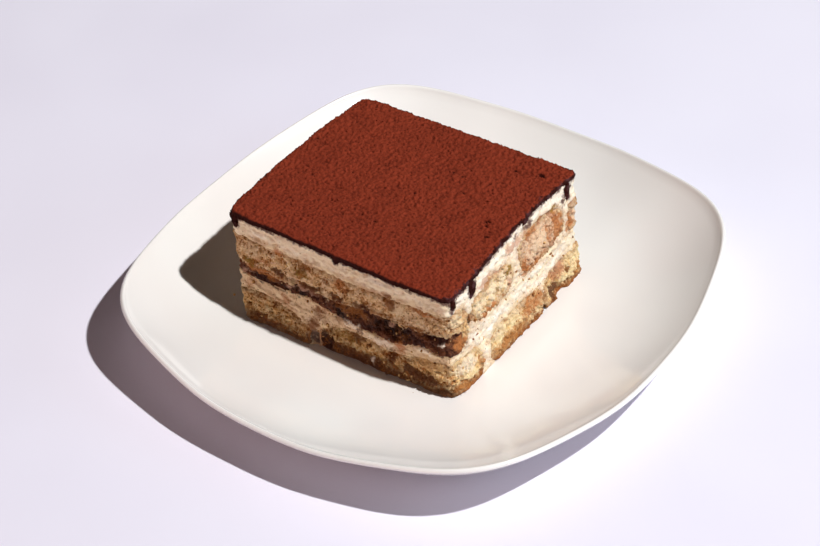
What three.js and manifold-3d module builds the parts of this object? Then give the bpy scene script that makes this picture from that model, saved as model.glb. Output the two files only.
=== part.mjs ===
// A square slice of tiramisu on its porcelain coupe plate.
// Millimetres, +Z up, origin on the table under the middle of the plate. The slice is cut on all
// four sides. Its ladyfingers lie along X: the knife cut across them at the left and the right
// (-X and +X), and along one of them at the front (-Y) and at the back (+Y).
import * as THREE from 'three';
import Module from 'manifold-3d';
import { mergeVertices } from 'three/addons/utils/BufferGeometryUtils.js';
import { ImprovedNoise } from 'three/addons/math/ImprovedNoise.js';

const wasm = await Module();
wasm.setup();

// ---------------------------------------------------------------- driving dimensions

const GAP = 0.35; // clearance between pieces that touch
const OVERRUN = 6; // how far a cutter reaches past the faces of the slice

const PLATE = {
  radius: 104.6, // mean of the rounded-square outline
  squareness: [-0.05, 0.01, -0.004], // 4, 8 and 12 lobes of that outline
  rimHeight: 22.2, // mean height of the lip over the table
  rimLift: [-2.7, 0.3], // 4 and 8 lobes of that height: the corners stand higher
  wellHeight: 6.8, // eating surface in the middle
  wellReach: 0.5, // share of the radius that is flat
  coupeCurve: 2.7, // power of the curve from the well to the lip
  lip: 2.7, // thickness of the lip
  wall: 3.6, // thickness where the coupe leaves the well
  footOuter: 0.6, // foot ring, as shares of the radius
  footInner: 0.545,
  footRecess: 1.6, // hollow inside the foot ring
  turns: 52,
};

const SLICE = {
  length: 96.2, // along X
  depth: 83.4, // along Y
  height: 43, // block height before the corners are set
  centre: [-7.75, 0],
  turn: 0.63, // degrees on the plate
  corners: { backLeft: 42.2, backRight: 44.4, frontLeft: 43.3, frontRight: 43.1 },
  planPower: 22, // how sharp the upright corners are
  skin: 10, // depth over which a leaning face carries its layers along
  lowBand: [4, 16], // over these heights the pressed-out foot goes over into the faces
  highBand: [27, 43], // over these heights the slump of the right face sets in
  toeIn: 4.6, // how far the bottom sponge stops short on the left
  lean: 2.9, // how far the top of the right face has slumped back
  leanSpan: [-41.7, 8, 26, 40], // along Y it grows to its full size and fades again
  leanLeft: 0.15, // share of it that is left past the span
  bow: 1.8, // how far the left face is bowed out above the bottom sponge
  baseSpread: 1.6, // how far the bottom sponge is pressed out on the right and at the back
  frontSpread: [4.4, 2.5, 0.9], // the same at the front: left piece, and right piece from end to end
};
const HALF_LENGTH = SLICE.length / 2;
const HALF_DEPTH = SLICE.depth / 2;
const BUTT = { x: -10, gap: 2.2, blend: 2 }; // where two fingers of the bottom layer meet end to end

// Heights of the wavy seams on the front face, at even steps from its left to its right end.
const SEAMS = {
  creamOverSponge: [34.8, 34.5, 34.5, 34.6, 34.6, 34.4, 35.2, 36, 36.4],
  spongeOverSoak: [21.4, 21.2, 21.4, 22.4, 22.6, 24.8, 25, 25, 27.2],
  soakOverCream: [16.9, 16.6, 17, 17.8, 14.9, 15.1, 14.4, 18.7, 17.4],
  creamOverBase: [10.2, 12.2, 11.6, 9, 11.4, 12.2, 10.8, 13.8, 14],
};

const CREAM_SPLIT = 22.4; // level where the upper cream meets the lower one between the fingers
const COCOA = {
  underside: 42.6,
  top: 44.3,
  dent: [0.25, 22], // depth and size of the dents in its underside
  swell: [0.35, 8], // the same for the unevenness of its top
  shoulder: 0.5, // how far its top rounds down at the edge
  shoulderReach: 2.2,
  droop: [0.1, 0.8, 5], // how far its underside hangs down there: mean, variation and size
  cells: [15, 13], // grid that it shares with the cream under it
};

const FINGER = {
  power: 2.9, // section of a ladyfinger: 2 is an ellipse, high values are square
  cutPower: 14, // the side of a section that the knife made flat
  basePower: 6, // the side of a section pressed on the plate
  endRound: 8, // how far a finger's own end is rounded
  endTaper: 0.62, // share of the section that is left at that end
  wander: [0.7, 15], // how far a finger wanders sideways, and over what length
};

// Relief on the cut faces, coarse grain and fine grain, and how high each layer's is.
const RELIEF = { coarse: [7, 7, 4.5], fine: [3.4, 3.4, 2.6], fineShare: 0.5 };
const CRAG = { sponge: 0.95, soak: 0.8, cream: 0.4, cocoa: 0.7 };

const COLOURS = {
  porcelain: 0xece6e2,
  cream: 0xf2dcc4,
  sponge: 0xd9b184,
  baseSponge: 0xc79a68,
  soak: 0x4a2c1c,
  cocoa: 0x6e2c1c,
};

// ---------------------------------------------------------------- small helpers

const noiseField = new ImprovedNoise();

/** Smooth noise in -1..1 with the given grain size. The seed moves it to another place. */
function noise(point, grain, seed = 0) {
  const [gx, gy, gz] = Array.isArray(grain) ? grain : [grain, grain, grain];
  return noiseField.noise(point.x / gx + 17.3 * seed, point.y / gy - 9.7 * seed, point.z / gz + 5.1);
}

/** A wavy line through heights that stand at even steps from -HALF_LENGTH to HALF_LENGTH. */
function wavyLine(heights) {
  const last = heights.length - 1;
  const curve = new THREE.SplineCurve(heights.map((height, i) => new THREE.Vector2(i / last, height)));
  return (x) => curve.getPoint(THREE.MathUtils.clamp((x + HALF_LENGTH) / SLICE.length, 0, 1)).y;
}

/** Pulls a point of the square -1..1 in, so that the square's rim becomes a superellipse. */
function roundSquare(a, b, power) {
  const reach = Math.max(Math.abs(a), Math.abs(b));
  if (reach === 0) return [0, 0];
  const pull = reach / Math.pow(Math.abs(a) ** power + Math.abs(b) ** power, 1 / power);
  return [a * pull, b * pull];
}

/** Joins shared corners and drops triangles that have shrunk to a line. */
function weld(geometry) {
  const bare = geometry.clone();
  bare.deleteAttribute('normal');
  bare.deleteAttribute('uv');
  const merged = mergeVertices(bare, 1e-3);
  const kept = [];
  for (let i = 0; i < merged.index.count; i += 3) {
    const [a, b, c] = [0, 1, 2].map((k) => merged.index.getX(i + k));
    if (a !== b && b !== c && c !== a) kept.push(a, b, c);
  }
  merged.setIndex(kept);
  return merged;
}

/** Moves every vertex of a geometry through a function of its old place. */
function reshape(geometry, place) {
  const position = geometry.attributes.position;
  const point = new THREE.Vector3();
  for (let i = 0; i < position.count; i += 1) {
    point.fromBufferAttribute(position, i);
    place(point);
    position.setXYZ(i, point.x, point.y, point.z);
  }
  return geometry;
}

function toSolid(geometry) {
  return new wasm.Manifold(
    new wasm.Mesh({
      numProp: 3,
      vertProperties: new Float32Array(geometry.attributes.position.array),
      triVerts: new Uint32Array(geometry.index.array),
    }),
  );
}

/** The largest body of a solid, as a geometry: loose scraps of a cut are dropped. */
function toGeometry(solid) {
  const bodies = solid.decompose().sort((a, b) => b.volume() - a.volume());
  const mesh = bodies[0].getMesh();
  const geometry = new THREE.BufferGeometry();
  geometry.setAttribute('position', new THREE.BufferAttribute(new Float32Array(mesh.vertProperties), 3));
  geometry.setIndex([...mesh.triVerts]);
  return geometry;
}

function subtractAll(geometry, cutters) {
  const solid = cutters.reduce((left, cutter) => left.subtract(toSolid(cutter)), toSolid(geometry));
  return toGeometry(solid);
}

function uniteAll(geometry, extras) {
  const solid = extras.reduce((left, extra) => left.add(toSolid(extra)), toSolid(geometry));
  return toGeometry(solid);
}

// ---------------------------------------------------------------- plate

function plateRadius(angle) {
  const [four, eight, twelve] = PLATE.squareness;
  return PLATE.radius
    * (1 + four * Math.cos(4 * angle) + eight * Math.cos(8 * angle) + twelve * Math.cos(12 * angle));
}

function rimHeight(angle) {
  const [four, eight] = PLATE.rimLift;
  return PLATE.rimHeight + four * Math.cos(4 * angle) + eight * Math.cos(8 * angle);
}

/** Share of the rise from the well to the lip at a share of the radius. */
function coupeRise(share) {
  const out = Math.max(0, (share - PLATE.wellReach) / (1 - PLATE.wellReach));
  return out ** PLATE.coupeCurve;
}

/**
 * The plate is a lathe of unit radius. A profile point holds the share of the radius, the share of
 * the coupe's rise and a fixed height, and the last two are put together for each direction.
 */
function plateGeometry() {
  const { wellHeight, wall, lip, footOuter, footInner, footRecess } = PLATE;
  const upper = [0, 0.5, 0.62, 0.73, 0.83, 0.91, 0.965];
  const under = [0.95, 0.86, 0.75, 0.66];
  const profile = [
    ...upper.map((share) => [share, coupeRise(share), wellHeight]),
    [0.988, 1, wellHeight],
    [1, 1, wellHeight - 0.45 * lip],
    [0.985, 1, wellHeight - lip],
    ...under.map((share) => [share, coupeRise(share), wellHeight - lip - (1 - share) * (wall - lip)]),
    [footOuter + 0.012, 0, wellHeight - wall],
    [footOuter, 0, 0.4],
    [footOuter - 0.006, 0, 0],
    [footInner, 0, 0],
    [footInner - 0.012, 0, footRecess],
    [0, 0, footRecess],
  ];
  const points = profile.map(([share], i) => new THREE.Vector2(share, i)).reverse();
  const lathe = weld(new THREE.LatheGeometry(points, PLATE.turns));
  return reshape(lathe, (point) => {
    const share = Math.hypot(point.x, point.z);
    const angle = Math.atan2(point.z, point.x);
    const [, rise, height] = profile[Math.round(point.y)];
    const radius = share * plateRadius(angle);
    point.set(
      radius * Math.cos(angle),
      -radius * Math.sin(angle),
      height + rise * (rimHeight(angle) - wellHeight),
    );
  });
}

// ---------------------------------------------------------------- the block that the knife cut

/** How far the pressed-out bottom sponge stands proud at the front. */
function frontSpread(x) {
  const [leftPiece, rightStart, rightEnd] = SLICE.frontSpread;
  const alongRight = THREE.MathUtils.clamp((x - BUTT.x) / (HALF_LENGTH - BUTT.x), 0, 1);
  const right = THREE.MathUtils.lerp(rightStart, rightEnd, alongRight);
  const onRight = THREE.MathUtils.smoothstep(x, BUTT.x - BUTT.blend, BUTT.x + BUTT.blend);
  return THREE.MathUtils.lerp(leftPiece, right, onRight);
}

/**
 * Carries a point of the straight-sided block to its place in the slice: rounded upright corners,
 * slumped and pressed-out faces, crumbled relief, and a top that isn't level. Every piece goes
 * through the same map, so neighbours keep their distance.
 */
function settle(point, crag) {
  const { skin, planPower, corners, lowBand, highBand, leanLeft } = SLICE;
  const { x, y, z } = point;
  const [u, v] = roundSquare(x / HALF_LENGTH, y / HALF_DEPTH, planPower);
  const right = THREE.MathUtils.smoothstep(x, HALF_LENGTH - skin, HALF_LENGTH);
  const left = THREE.MathUtils.smoothstep(-x, HALF_LENGTH - skin, HALF_LENGTH);
  const back = THREE.MathUtils.smoothstep(y, HALF_DEPTH - skin, HALF_DEPTH);
  const front = THREE.MathUtils.smoothstep(-y, HALF_DEPTH - skin, HALF_DEPTH);
  const low = 1 - THREE.MathUtils.smoothstep(z, ...lowBand);
  const high = THREE.MathUtils.smoothstep(z, ...highBand);
  const [leanStart, leanFull, leanFade, leanEnd] = SLICE.leanSpan;
  const leanHere = THREE.MathUtils.smoothstep(y, leanStart, leanFull)
    * (1 - (1 - leanLeft) * THREE.MathUtils.smoothstep(y, leanFade, leanEnd));
  const slump = SLICE.lean * high * leanHere;
  const bow = SLICE.bow * (1 - low) * (1 - (y / HALF_DEPTH) ** 2);
  const pressed = SLICE.baseSpread * low;
  const relief = crag * (noise(point, RELIEF.coarse, 1) + RELIEF.fineShare * noise(point, RELIEF.fine, 2));
  const heightFront = THREE.MathUtils.lerp(corners.frontLeft, corners.frontRight, (u + 1) / 2);
  const heightBack = THREE.MathUtils.lerp(corners.backLeft, corners.backRight, (u + 1) / 2);
  point.set(
    u * HALF_LENGTH + right * (pressed - slump + relief) + left * (SLICE.toeIn * low - bow - relief),
    v * HALF_DEPTH + back * (pressed + relief) - front * (frontSpread(x) * low + relief),
    (z / SLICE.height) * THREE.MathUtils.lerp(heightFront, heightBack, (v + 1) / 2),
  );
}

const NO_SLEEVES = [[0, 0], [0, 0], [0, 0]];

/**
 * A closed box of grid cells, -1..1 each way, placed in the block and settled. `sleeves` counts the
 * extra cells below and above each axis, which run straight out of the slice: a cutter has them, so
 * that it passes through a face with the very section that its piece has there.
 */
function brick(cells, crag, place, sleeves = NO_SLEEVES) {
  const totals = cells.map((count, axis) => count + sleeves[axis][0] + sleeves[axis][1]);
  const box = weld(new THREE.BoxGeometry(2, 2, 2, ...totals));
  return reshape(box, (point) => {
    const lines = point.toArray().map((t, axis) => (
      Math.round(((t + 1) / 2) * totals[axis]) - sleeves[axis][0]
    ));
    const inside = lines.map((line, axis) => THREE.MathUtils.clamp(line, 0, cells[axis]));
    const beyond = lines.map((line, axis) => (line - inside[axis]) * OVERRUN);
    point.set(...inside.map((line, axis) => (2 * line) / cells[axis] - 1));
    place(point);
    settle(point, crag);
    point.add(new THREE.Vector3(...beyond));
  });
}

// ---------------------------------------------------------------- ladyfingers and soak

/**
 * A ladyfinger along X. Its sides are numbers or functions of x. `cut` says which sides the knife
 * made: front or back, and an end that lies inside the slice is `roundEnd`, -1 or 1.
 * With `grow` it becomes the cutter that makes room for the finger in the cream.
 */
function ladyfinger(spec, grow = 0) {
  const { ends, sides, bottom, top, cut = '', roundEnd = 0, cells, seed } = spec;
  const { crag = CRAG.sponge, wander = cut ? 0 : FINGER.wander[0] } = spec;
  const at = (value, x) => (typeof value === 'function' ? value(x) : value);
  const cutter = grow > 0 ? 1 : 0;
  const sleeves = [
    [roundEnd === -1 ? 0 : cutter, roundEnd === 1 ? 0 : cutter],
    [cut === 'front' ? cutter : 0, cut === 'back' ? cutter : 0],
    [0, 0],
  ];
  return brick(cells, crag, (point) => {
    const [u, v, w] = point.toArray();
    const x = THREE.MathUtils.lerp(ends[0], ends[1], (u + 1) / 2);
    const along = { x, y: seed * 20, z: 0 };
    const wobble = wander * noise(along, FINGER.wander[1], seed);
    const toEnd = Math.min(1, Math.abs(x - ends[(roundEnd + 1) / 2]) / FINGER.endRound);
    const rounding = Math.sqrt(1 - (1 - toEnd) ** 2);
    const taper = roundEnd === 0 ? 1 : THREE.MathUtils.lerp(FINGER.endTaper, 1, rounding);
    const knife = (cut === 'front' && v < 0) || (cut === 'back' && v > 0);
    const seated = bottom === 0 && w < 0;
    const power = knife ? FINGER.cutPower : seated ? FINGER.basePower : FINGER.power;
    const [a, b] = roundSquare(v, w, power);
    const halfHeight = (at(top, x) - at(bottom, x)) / 2;
    const middle = (sides[0] + sides[1]) / 2 + wobble;
    const halfWidth = (sides[1] - sides[0]) / 2;
    const faceReach = knife ? halfWidth : halfWidth * taper + grow;
    const drop = bottom === 0 ? Math.min(0, b) * halfHeight * (1 - taper) : 0;
    point.set(
      x + (u === roundEnd ? roundEnd * grow : 0),
      middle + a * faceReach,
      at(bottom, x) + halfHeight + b * (halfHeight * taper + grow) + drop,
    );
  }, sleeves);
}

const seam = Object.fromEntries(Object.entries(SEAMS).map(([name, heights]) => [name, wavyLine(heights)]));
const FULL_LENGTH = [-HALF_LENGTH, HALF_LENGTH];

const SOAK = {
  ends: FULL_LENGTH,
  sides: [-HALF_DEPTH, -34.4],
  bottom: seam.soakOverCream,
  top: seam.spongeOverSoak,
  cut: 'front',
  cells: [19, 2, 3],
  crag: CRAG.soak,
  seed: 1,
};

const FINGERS = {
  upper_ladyfinger_1: {
    ends: FULL_LENGTH,
    sides: [-HALF_DEPTH, -31.3],
    bottom: 17.8,
    top: seam.creamOverSponge,
    cut: 'front',
    cells: [19, 3, 5],
    seed: 2,
  },
  upper_ladyfinger_2: {
    ends: FULL_LENGTH,
    sides: [-28.6, -1.9],
    bottom: 22.6,
    top: 35.4,
    cells: [4, 7, 5],
    seed: 3,
  },
  upper_ladyfinger_3: {
    ends: FULL_LENGTH,
    sides: [2, 30.6],
    bottom: 23.2,
    top: 38.3,
    cells: [4, 7, 5],
    seed: 4,
  },
  upper_ladyfinger_4: {
    ends: FULL_LENGTH,
    sides: [33.6, HALF_DEPTH],
    bottom: 22.4,
    top: 34.2,
    cut: 'back',
    cells: [8, 3, 4],
    seed: 5,
  },
  lower_ladyfinger_1_left: {
    ends: [-HALF_LENGTH, BUTT.x - BUTT.gap],
    sides: [-HALF_DEPTH, -24.4],
    bottom: 0,
    top: seam.creamOverBase,
    cut: 'front',
    roundEnd: 1,
    cells: [8, 3, 3],
    seed: 6,
  },
  lower_ladyfinger_1_right: {
    ends: [BUTT.x + BUTT.gap, HALF_LENGTH],
    sides: [-HALF_DEPTH, -24.4],
    bottom: 0,
    top: seam.creamOverBase,
    cut: 'front',
    roundEnd: -1,
    cells: [12, 3, 3],
    seed: 7,
  },
  lower_ladyfinger_2: {
    ends: FULL_LENGTH,
    sides: [-19.4, 14.6],
    bottom: 0,
    top: 13.4,
    wander: 0,
    cells: [4, 8, 4],
    seed: 8,
  },
  lower_ladyfinger_3: {
    ends: FULL_LENGTH,
    sides: [15, HALF_DEPTH],
    bottom: 0,
    top: 13.8,
    cut: 'back',
    cells: [8, 6, 4],
    seed: 9,
  },
};

// ---------------------------------------------------------------- cocoa, its lumps, and hollows

/** Lumps of damp cocoa that hang over the edge, each an ellipsoid: centre, then half-sizes. */
const LUMPS = [
  [[-46, -39.8, 40.4], [3, 2.8, 4.2]], // runs down the front left corner
  [[0.5, -40.8, 42.2], [1.8, 1.8, 1.9]], // a tooth in the middle of the front edge
  [[46.4, -26.8, 39.2], [2.6, 2.9, 4.2]], // on the right face, near the front
  [[46.9, -38.6, 40.4], [2.2, 1.6, 3]],
  [[45.2, 10.6, 42], [3.2, 3.4, 1.7]],
  [[45.8, 35.2, 39.8], [2.6, 2.2, 5]], // runs down near the back right corner
  [[-44.3, 38.6, 43.4], [2.8, 2.4, 1.5]], // stands on the back left corner
];

/** Hollows where crumbs are missing: centre, half-sizes. */
const HOLLOWS = {
  soak: [[22, -42.6, 20.4], [7.5, 3.4, 4.6]],
  cream: [[47.3, -30, 27.6], [3.8, 1.6, 3.6]],
  notch: [[BUTT.x, -45.5, 0.6], [2.6, 5, 4]],
  base: [[48.1, 27, 2.2], [2.4, 4.6, 3.4]],
};

function ellipsoid([centre, halfSizes], grow = 0) {
  const ball = weld(new THREE.SphereGeometry(1, 9, 5));
  return reshape(ball, (point) => {
    point.multiply(new THREE.Vector3(...halfSizes).addScalar(grow));
    point.add(new THREE.Vector3(...centre));
    settle(point, CRAG.cream);
  });
}

/** Grid lines of -1..1 with the outermost cell narrowed to a share of the half-size. */
function narrowRim(t, cells, share) {
  if (Math.abs(t) === 1) return t;
  return (t * (1 - share)) / (1 - 2 / cells);
}

/** Underside of the cocoa, and top of the upper cream: gently dented, and lower at its edge. */
function cocoaUnderside(x, y) {
  const edge = Math.min(HALF_LENGTH - Math.abs(x), HALF_DEPTH - Math.abs(y));
  const [dentDepth, dentSize] = COCOA.dent;
  const [meanDroop, droopVariation, droopSize] = COCOA.droop;
  const nearEdge = 1 - THREE.MathUtils.smoothstep(edge, 0, COCOA.shoulderReach);
  const droop = meanDroop + droopVariation * noise({ x, y, z: 0 }, droopSize, 3);
  return COCOA.underside + dentDepth * noise({ x, y, z: 0 }, dentSize, 4) - nearEdge * droop;
}

/** Plan position of a grid point of the top's two sheets, which share their grid lines. */
function topPlan(u, v) {
  return [
    narrowRim(u, COCOA.cells[0], COCOA.shoulderReach / HALF_LENGTH) * HALF_LENGTH,
    narrowRim(v, COCOA.cells[1], COCOA.shoulderReach / HALF_DEPTH) * HALF_DEPTH,
  ];
}

function cocoaGeometry() {
  const [swellHeight, swellSize] = COCOA.swell;
  const sheet = brick([...COCOA.cells, 2], CRAG.cocoa, (point) => {
    const [u, v, w] = point.toArray();
    const [x, y] = topPlan(u, v);
    const edge = Math.min(HALF_LENGTH - Math.abs(x), HALF_DEPTH - Math.abs(y));
    const rounding = COCOA.shoulder * (1 - THREE.MathUtils.smoothstep(edge, -1, COCOA.shoulderReach));
    const top = COCOA.top + swellHeight * noise({ x, y, z: 0 }, swellSize, 5) - rounding;
    point.set(x, y, THREE.MathUtils.lerp(cocoaUnderside(x, y), top, (w + 1) / 2));
  });
  return uniteAll(sheet, LUMPS.map((lump) => ellipsoid(lump)));
}

// ---------------------------------------------------------------- creams

const fingerRoom = Object.values(FINGERS).map((spec) => ladyfinger(spec, GAP));
const soakRoom = ladyfinger(SOAK, GAP);

function creamUpperGeometry() {
  const slab = brick([...COCOA.cells, 3], CRAG.cream, (point) => {
    const [u, v, w] = point.toArray();
    const [x, y] = topPlan(u, v);
    const top = cocoaUnderside(x, y) - GAP;
    point.set(x, y, THREE.MathUtils.lerp(CREAM_SPLIT + GAP, top, (w + 1) / 2));
  });
  const lumpRoom = LUMPS.map((lump) => ellipsoid(lump, GAP));
  return subtractAll(slab, [...fingerRoom, soakRoom, ...lumpRoom, ellipsoid(HOLLOWS.cream)]);
}

function creamLowerGeometry() {
  const slab = brick([14, 12, 3], CRAG.cream, (point) => {
    const [u, v, w] = point.toArray();
    point.set(u * HALF_LENGTH, v * HALF_DEPTH, (CREAM_SPLIT * (w + 1)) / 2);
  });
  return subtractAll(slab, [...fingerRoom, soakRoom, ellipsoid(HOLLOWS.notch)]);
}

// ---------------------------------------------------------------- assembly

function material(colour, roughness) {
  return new THREE.MeshStandardMaterial({ color: colour, roughness, metalness: 0 });
}

const porcelain = material(COLOURS.porcelain, 0.12);
const cream = material(COLOURS.cream, 0.55);
const sponge = material(COLOURS.sponge, 0.95);
const baseSponge = material(COLOURS.baseSponge, 0.95);
const soak = material(COLOURS.soak, 0.6);
const cocoa = material(COLOURS.cocoa, 1);

function named(name, geometry, finish) {
  const mesh = new THREE.Mesh(geometry, finish);
  mesh.name = name;
  return mesh;
}

function fingerGeometry(name, spec) {
  const body = ladyfinger(spec);
  if (name === 'upper_ladyfinger_1') return subtractAll(body, [soakRoom, ellipsoid(HOLLOWS.soak)]);
  if (name === 'lower_ladyfinger_3') return subtractAll(body, [ellipsoid(HOLLOWS.base)]);
  return body;
}

const slice = new THREE.Group();
slice.position.set(...SLICE.centre, PLATE.wellHeight + GAP);
slice.rotation.z = THREE.MathUtils.degToRad(SLICE.turn);
for (const [name, spec] of Object.entries(FINGERS)) {
  const finish = name.startsWith('upper') ? sponge : baseSponge;
  slice.add(named(name, fingerGeometry(name, spec), finish));
}
slice.add(named('soaked_layer', subtractAll(ladyfinger(SOAK), [ellipsoid(HOLLOWS.soak)]), soak));
slice.add(named('cream_lower', creamLowerGeometry(), cream));
slice.add(named('cream_upper', creamUpperGeometry(), cream));
slice.add(named('cocoa_top', cocoaGeometry(), cocoa));

const tiramisu = new THREE.Group();
tiramisu.add(named('plate', plateGeometry(), porcelain));
tiramisu.add(slice);

export default tiramisu;
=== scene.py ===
"""Looks of a square slice of tiramisu on its porcelain coupe plate.

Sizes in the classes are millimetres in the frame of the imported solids: +Z up, the table at zero and
the origin under the middle of the plate. Meshes are metres. Every food solid is copied, remeshed
finely, given its crumb or its knife marks by Geometry Nodes, and dressed with a procedural finish.
"""

import logging
import math
from collections.abc import Callable, Mapping, Sequence
from dataclasses import dataclass
from enum import Enum
from typing import Any

import bmesh
import bpy
import numpy as np
from mathutils import Matrix, Vector

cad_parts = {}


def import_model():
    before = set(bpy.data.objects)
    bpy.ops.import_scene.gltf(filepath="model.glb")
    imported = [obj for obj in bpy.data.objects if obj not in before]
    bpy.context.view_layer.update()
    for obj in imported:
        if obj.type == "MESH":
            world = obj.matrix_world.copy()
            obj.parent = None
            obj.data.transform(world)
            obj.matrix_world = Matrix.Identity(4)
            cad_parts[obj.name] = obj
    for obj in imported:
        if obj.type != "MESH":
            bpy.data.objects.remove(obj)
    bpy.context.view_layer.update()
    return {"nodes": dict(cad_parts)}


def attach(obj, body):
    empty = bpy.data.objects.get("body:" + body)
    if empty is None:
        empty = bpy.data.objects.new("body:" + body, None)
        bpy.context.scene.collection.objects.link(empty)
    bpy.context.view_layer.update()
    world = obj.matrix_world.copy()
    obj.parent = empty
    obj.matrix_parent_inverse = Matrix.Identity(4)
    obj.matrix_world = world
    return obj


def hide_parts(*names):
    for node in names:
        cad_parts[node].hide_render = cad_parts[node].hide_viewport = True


LOG = logging.getLogger("tiramisu")
MM = 0.001
BODY = "root"


def srgb(code: str) -> tuple[float, float, float, float]:
    """Turns a display colour into the linear colour that shaders use.

    Args:
        code: Six hexadecimal digits, red first.

    Returns:
        Linear red, green, blue and an alpha of one.
    """
    shares = [int(code[i : i + 2], 16) / 255 for i in (0, 2, 4)]
    linear = [s / 12.92 if s <= 0.04045 else ((s + 0.055) / 1.055) ** 2.4 for s in shares]
    return (*linear, 1.0)


# ------------------------------------------------------------------ node trees in code


class Field:
    """A number or vector in a node tree. Arithmetic on it adds Math nodes."""

    def __init__(self, graph: "Graph", socket: bpy.types.NodeSocket) -> None:
        """Wraps an output socket of a graph."""
        self.graph = graph
        self.socket = socket

    def __add__(self, other: "Field | float") -> "Field":
        """Adds."""
        return self.graph.maths("ADD", self, other)

    def __sub__(self, other: "Field | float") -> "Field":
        """Subtracts."""
        return self.graph.maths("SUBTRACT", self, other)

    def __rsub__(self, other: float) -> "Field":
        """Subtracts from a plain number."""
        return self.graph.maths("SUBTRACT", other, self)

    def __mul__(self, other: "Field | float") -> "Field":
        """Multiplies."""
        return self.graph.maths("MULTIPLY", self, other)

    def __truediv__(self, other: "Field | float") -> "Field":
        """Divides."""
        return self.graph.maths("DIVIDE", self, other)

    def __neg__(self) -> "Field":
        """Changes the sign."""
        return self.graph.maths("MULTIPLY", self, -1.0)

    def __abs__(self) -> "Field":
        """Drops the sign."""
        return self.graph.maths("ABSOLUTE", self)


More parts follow.
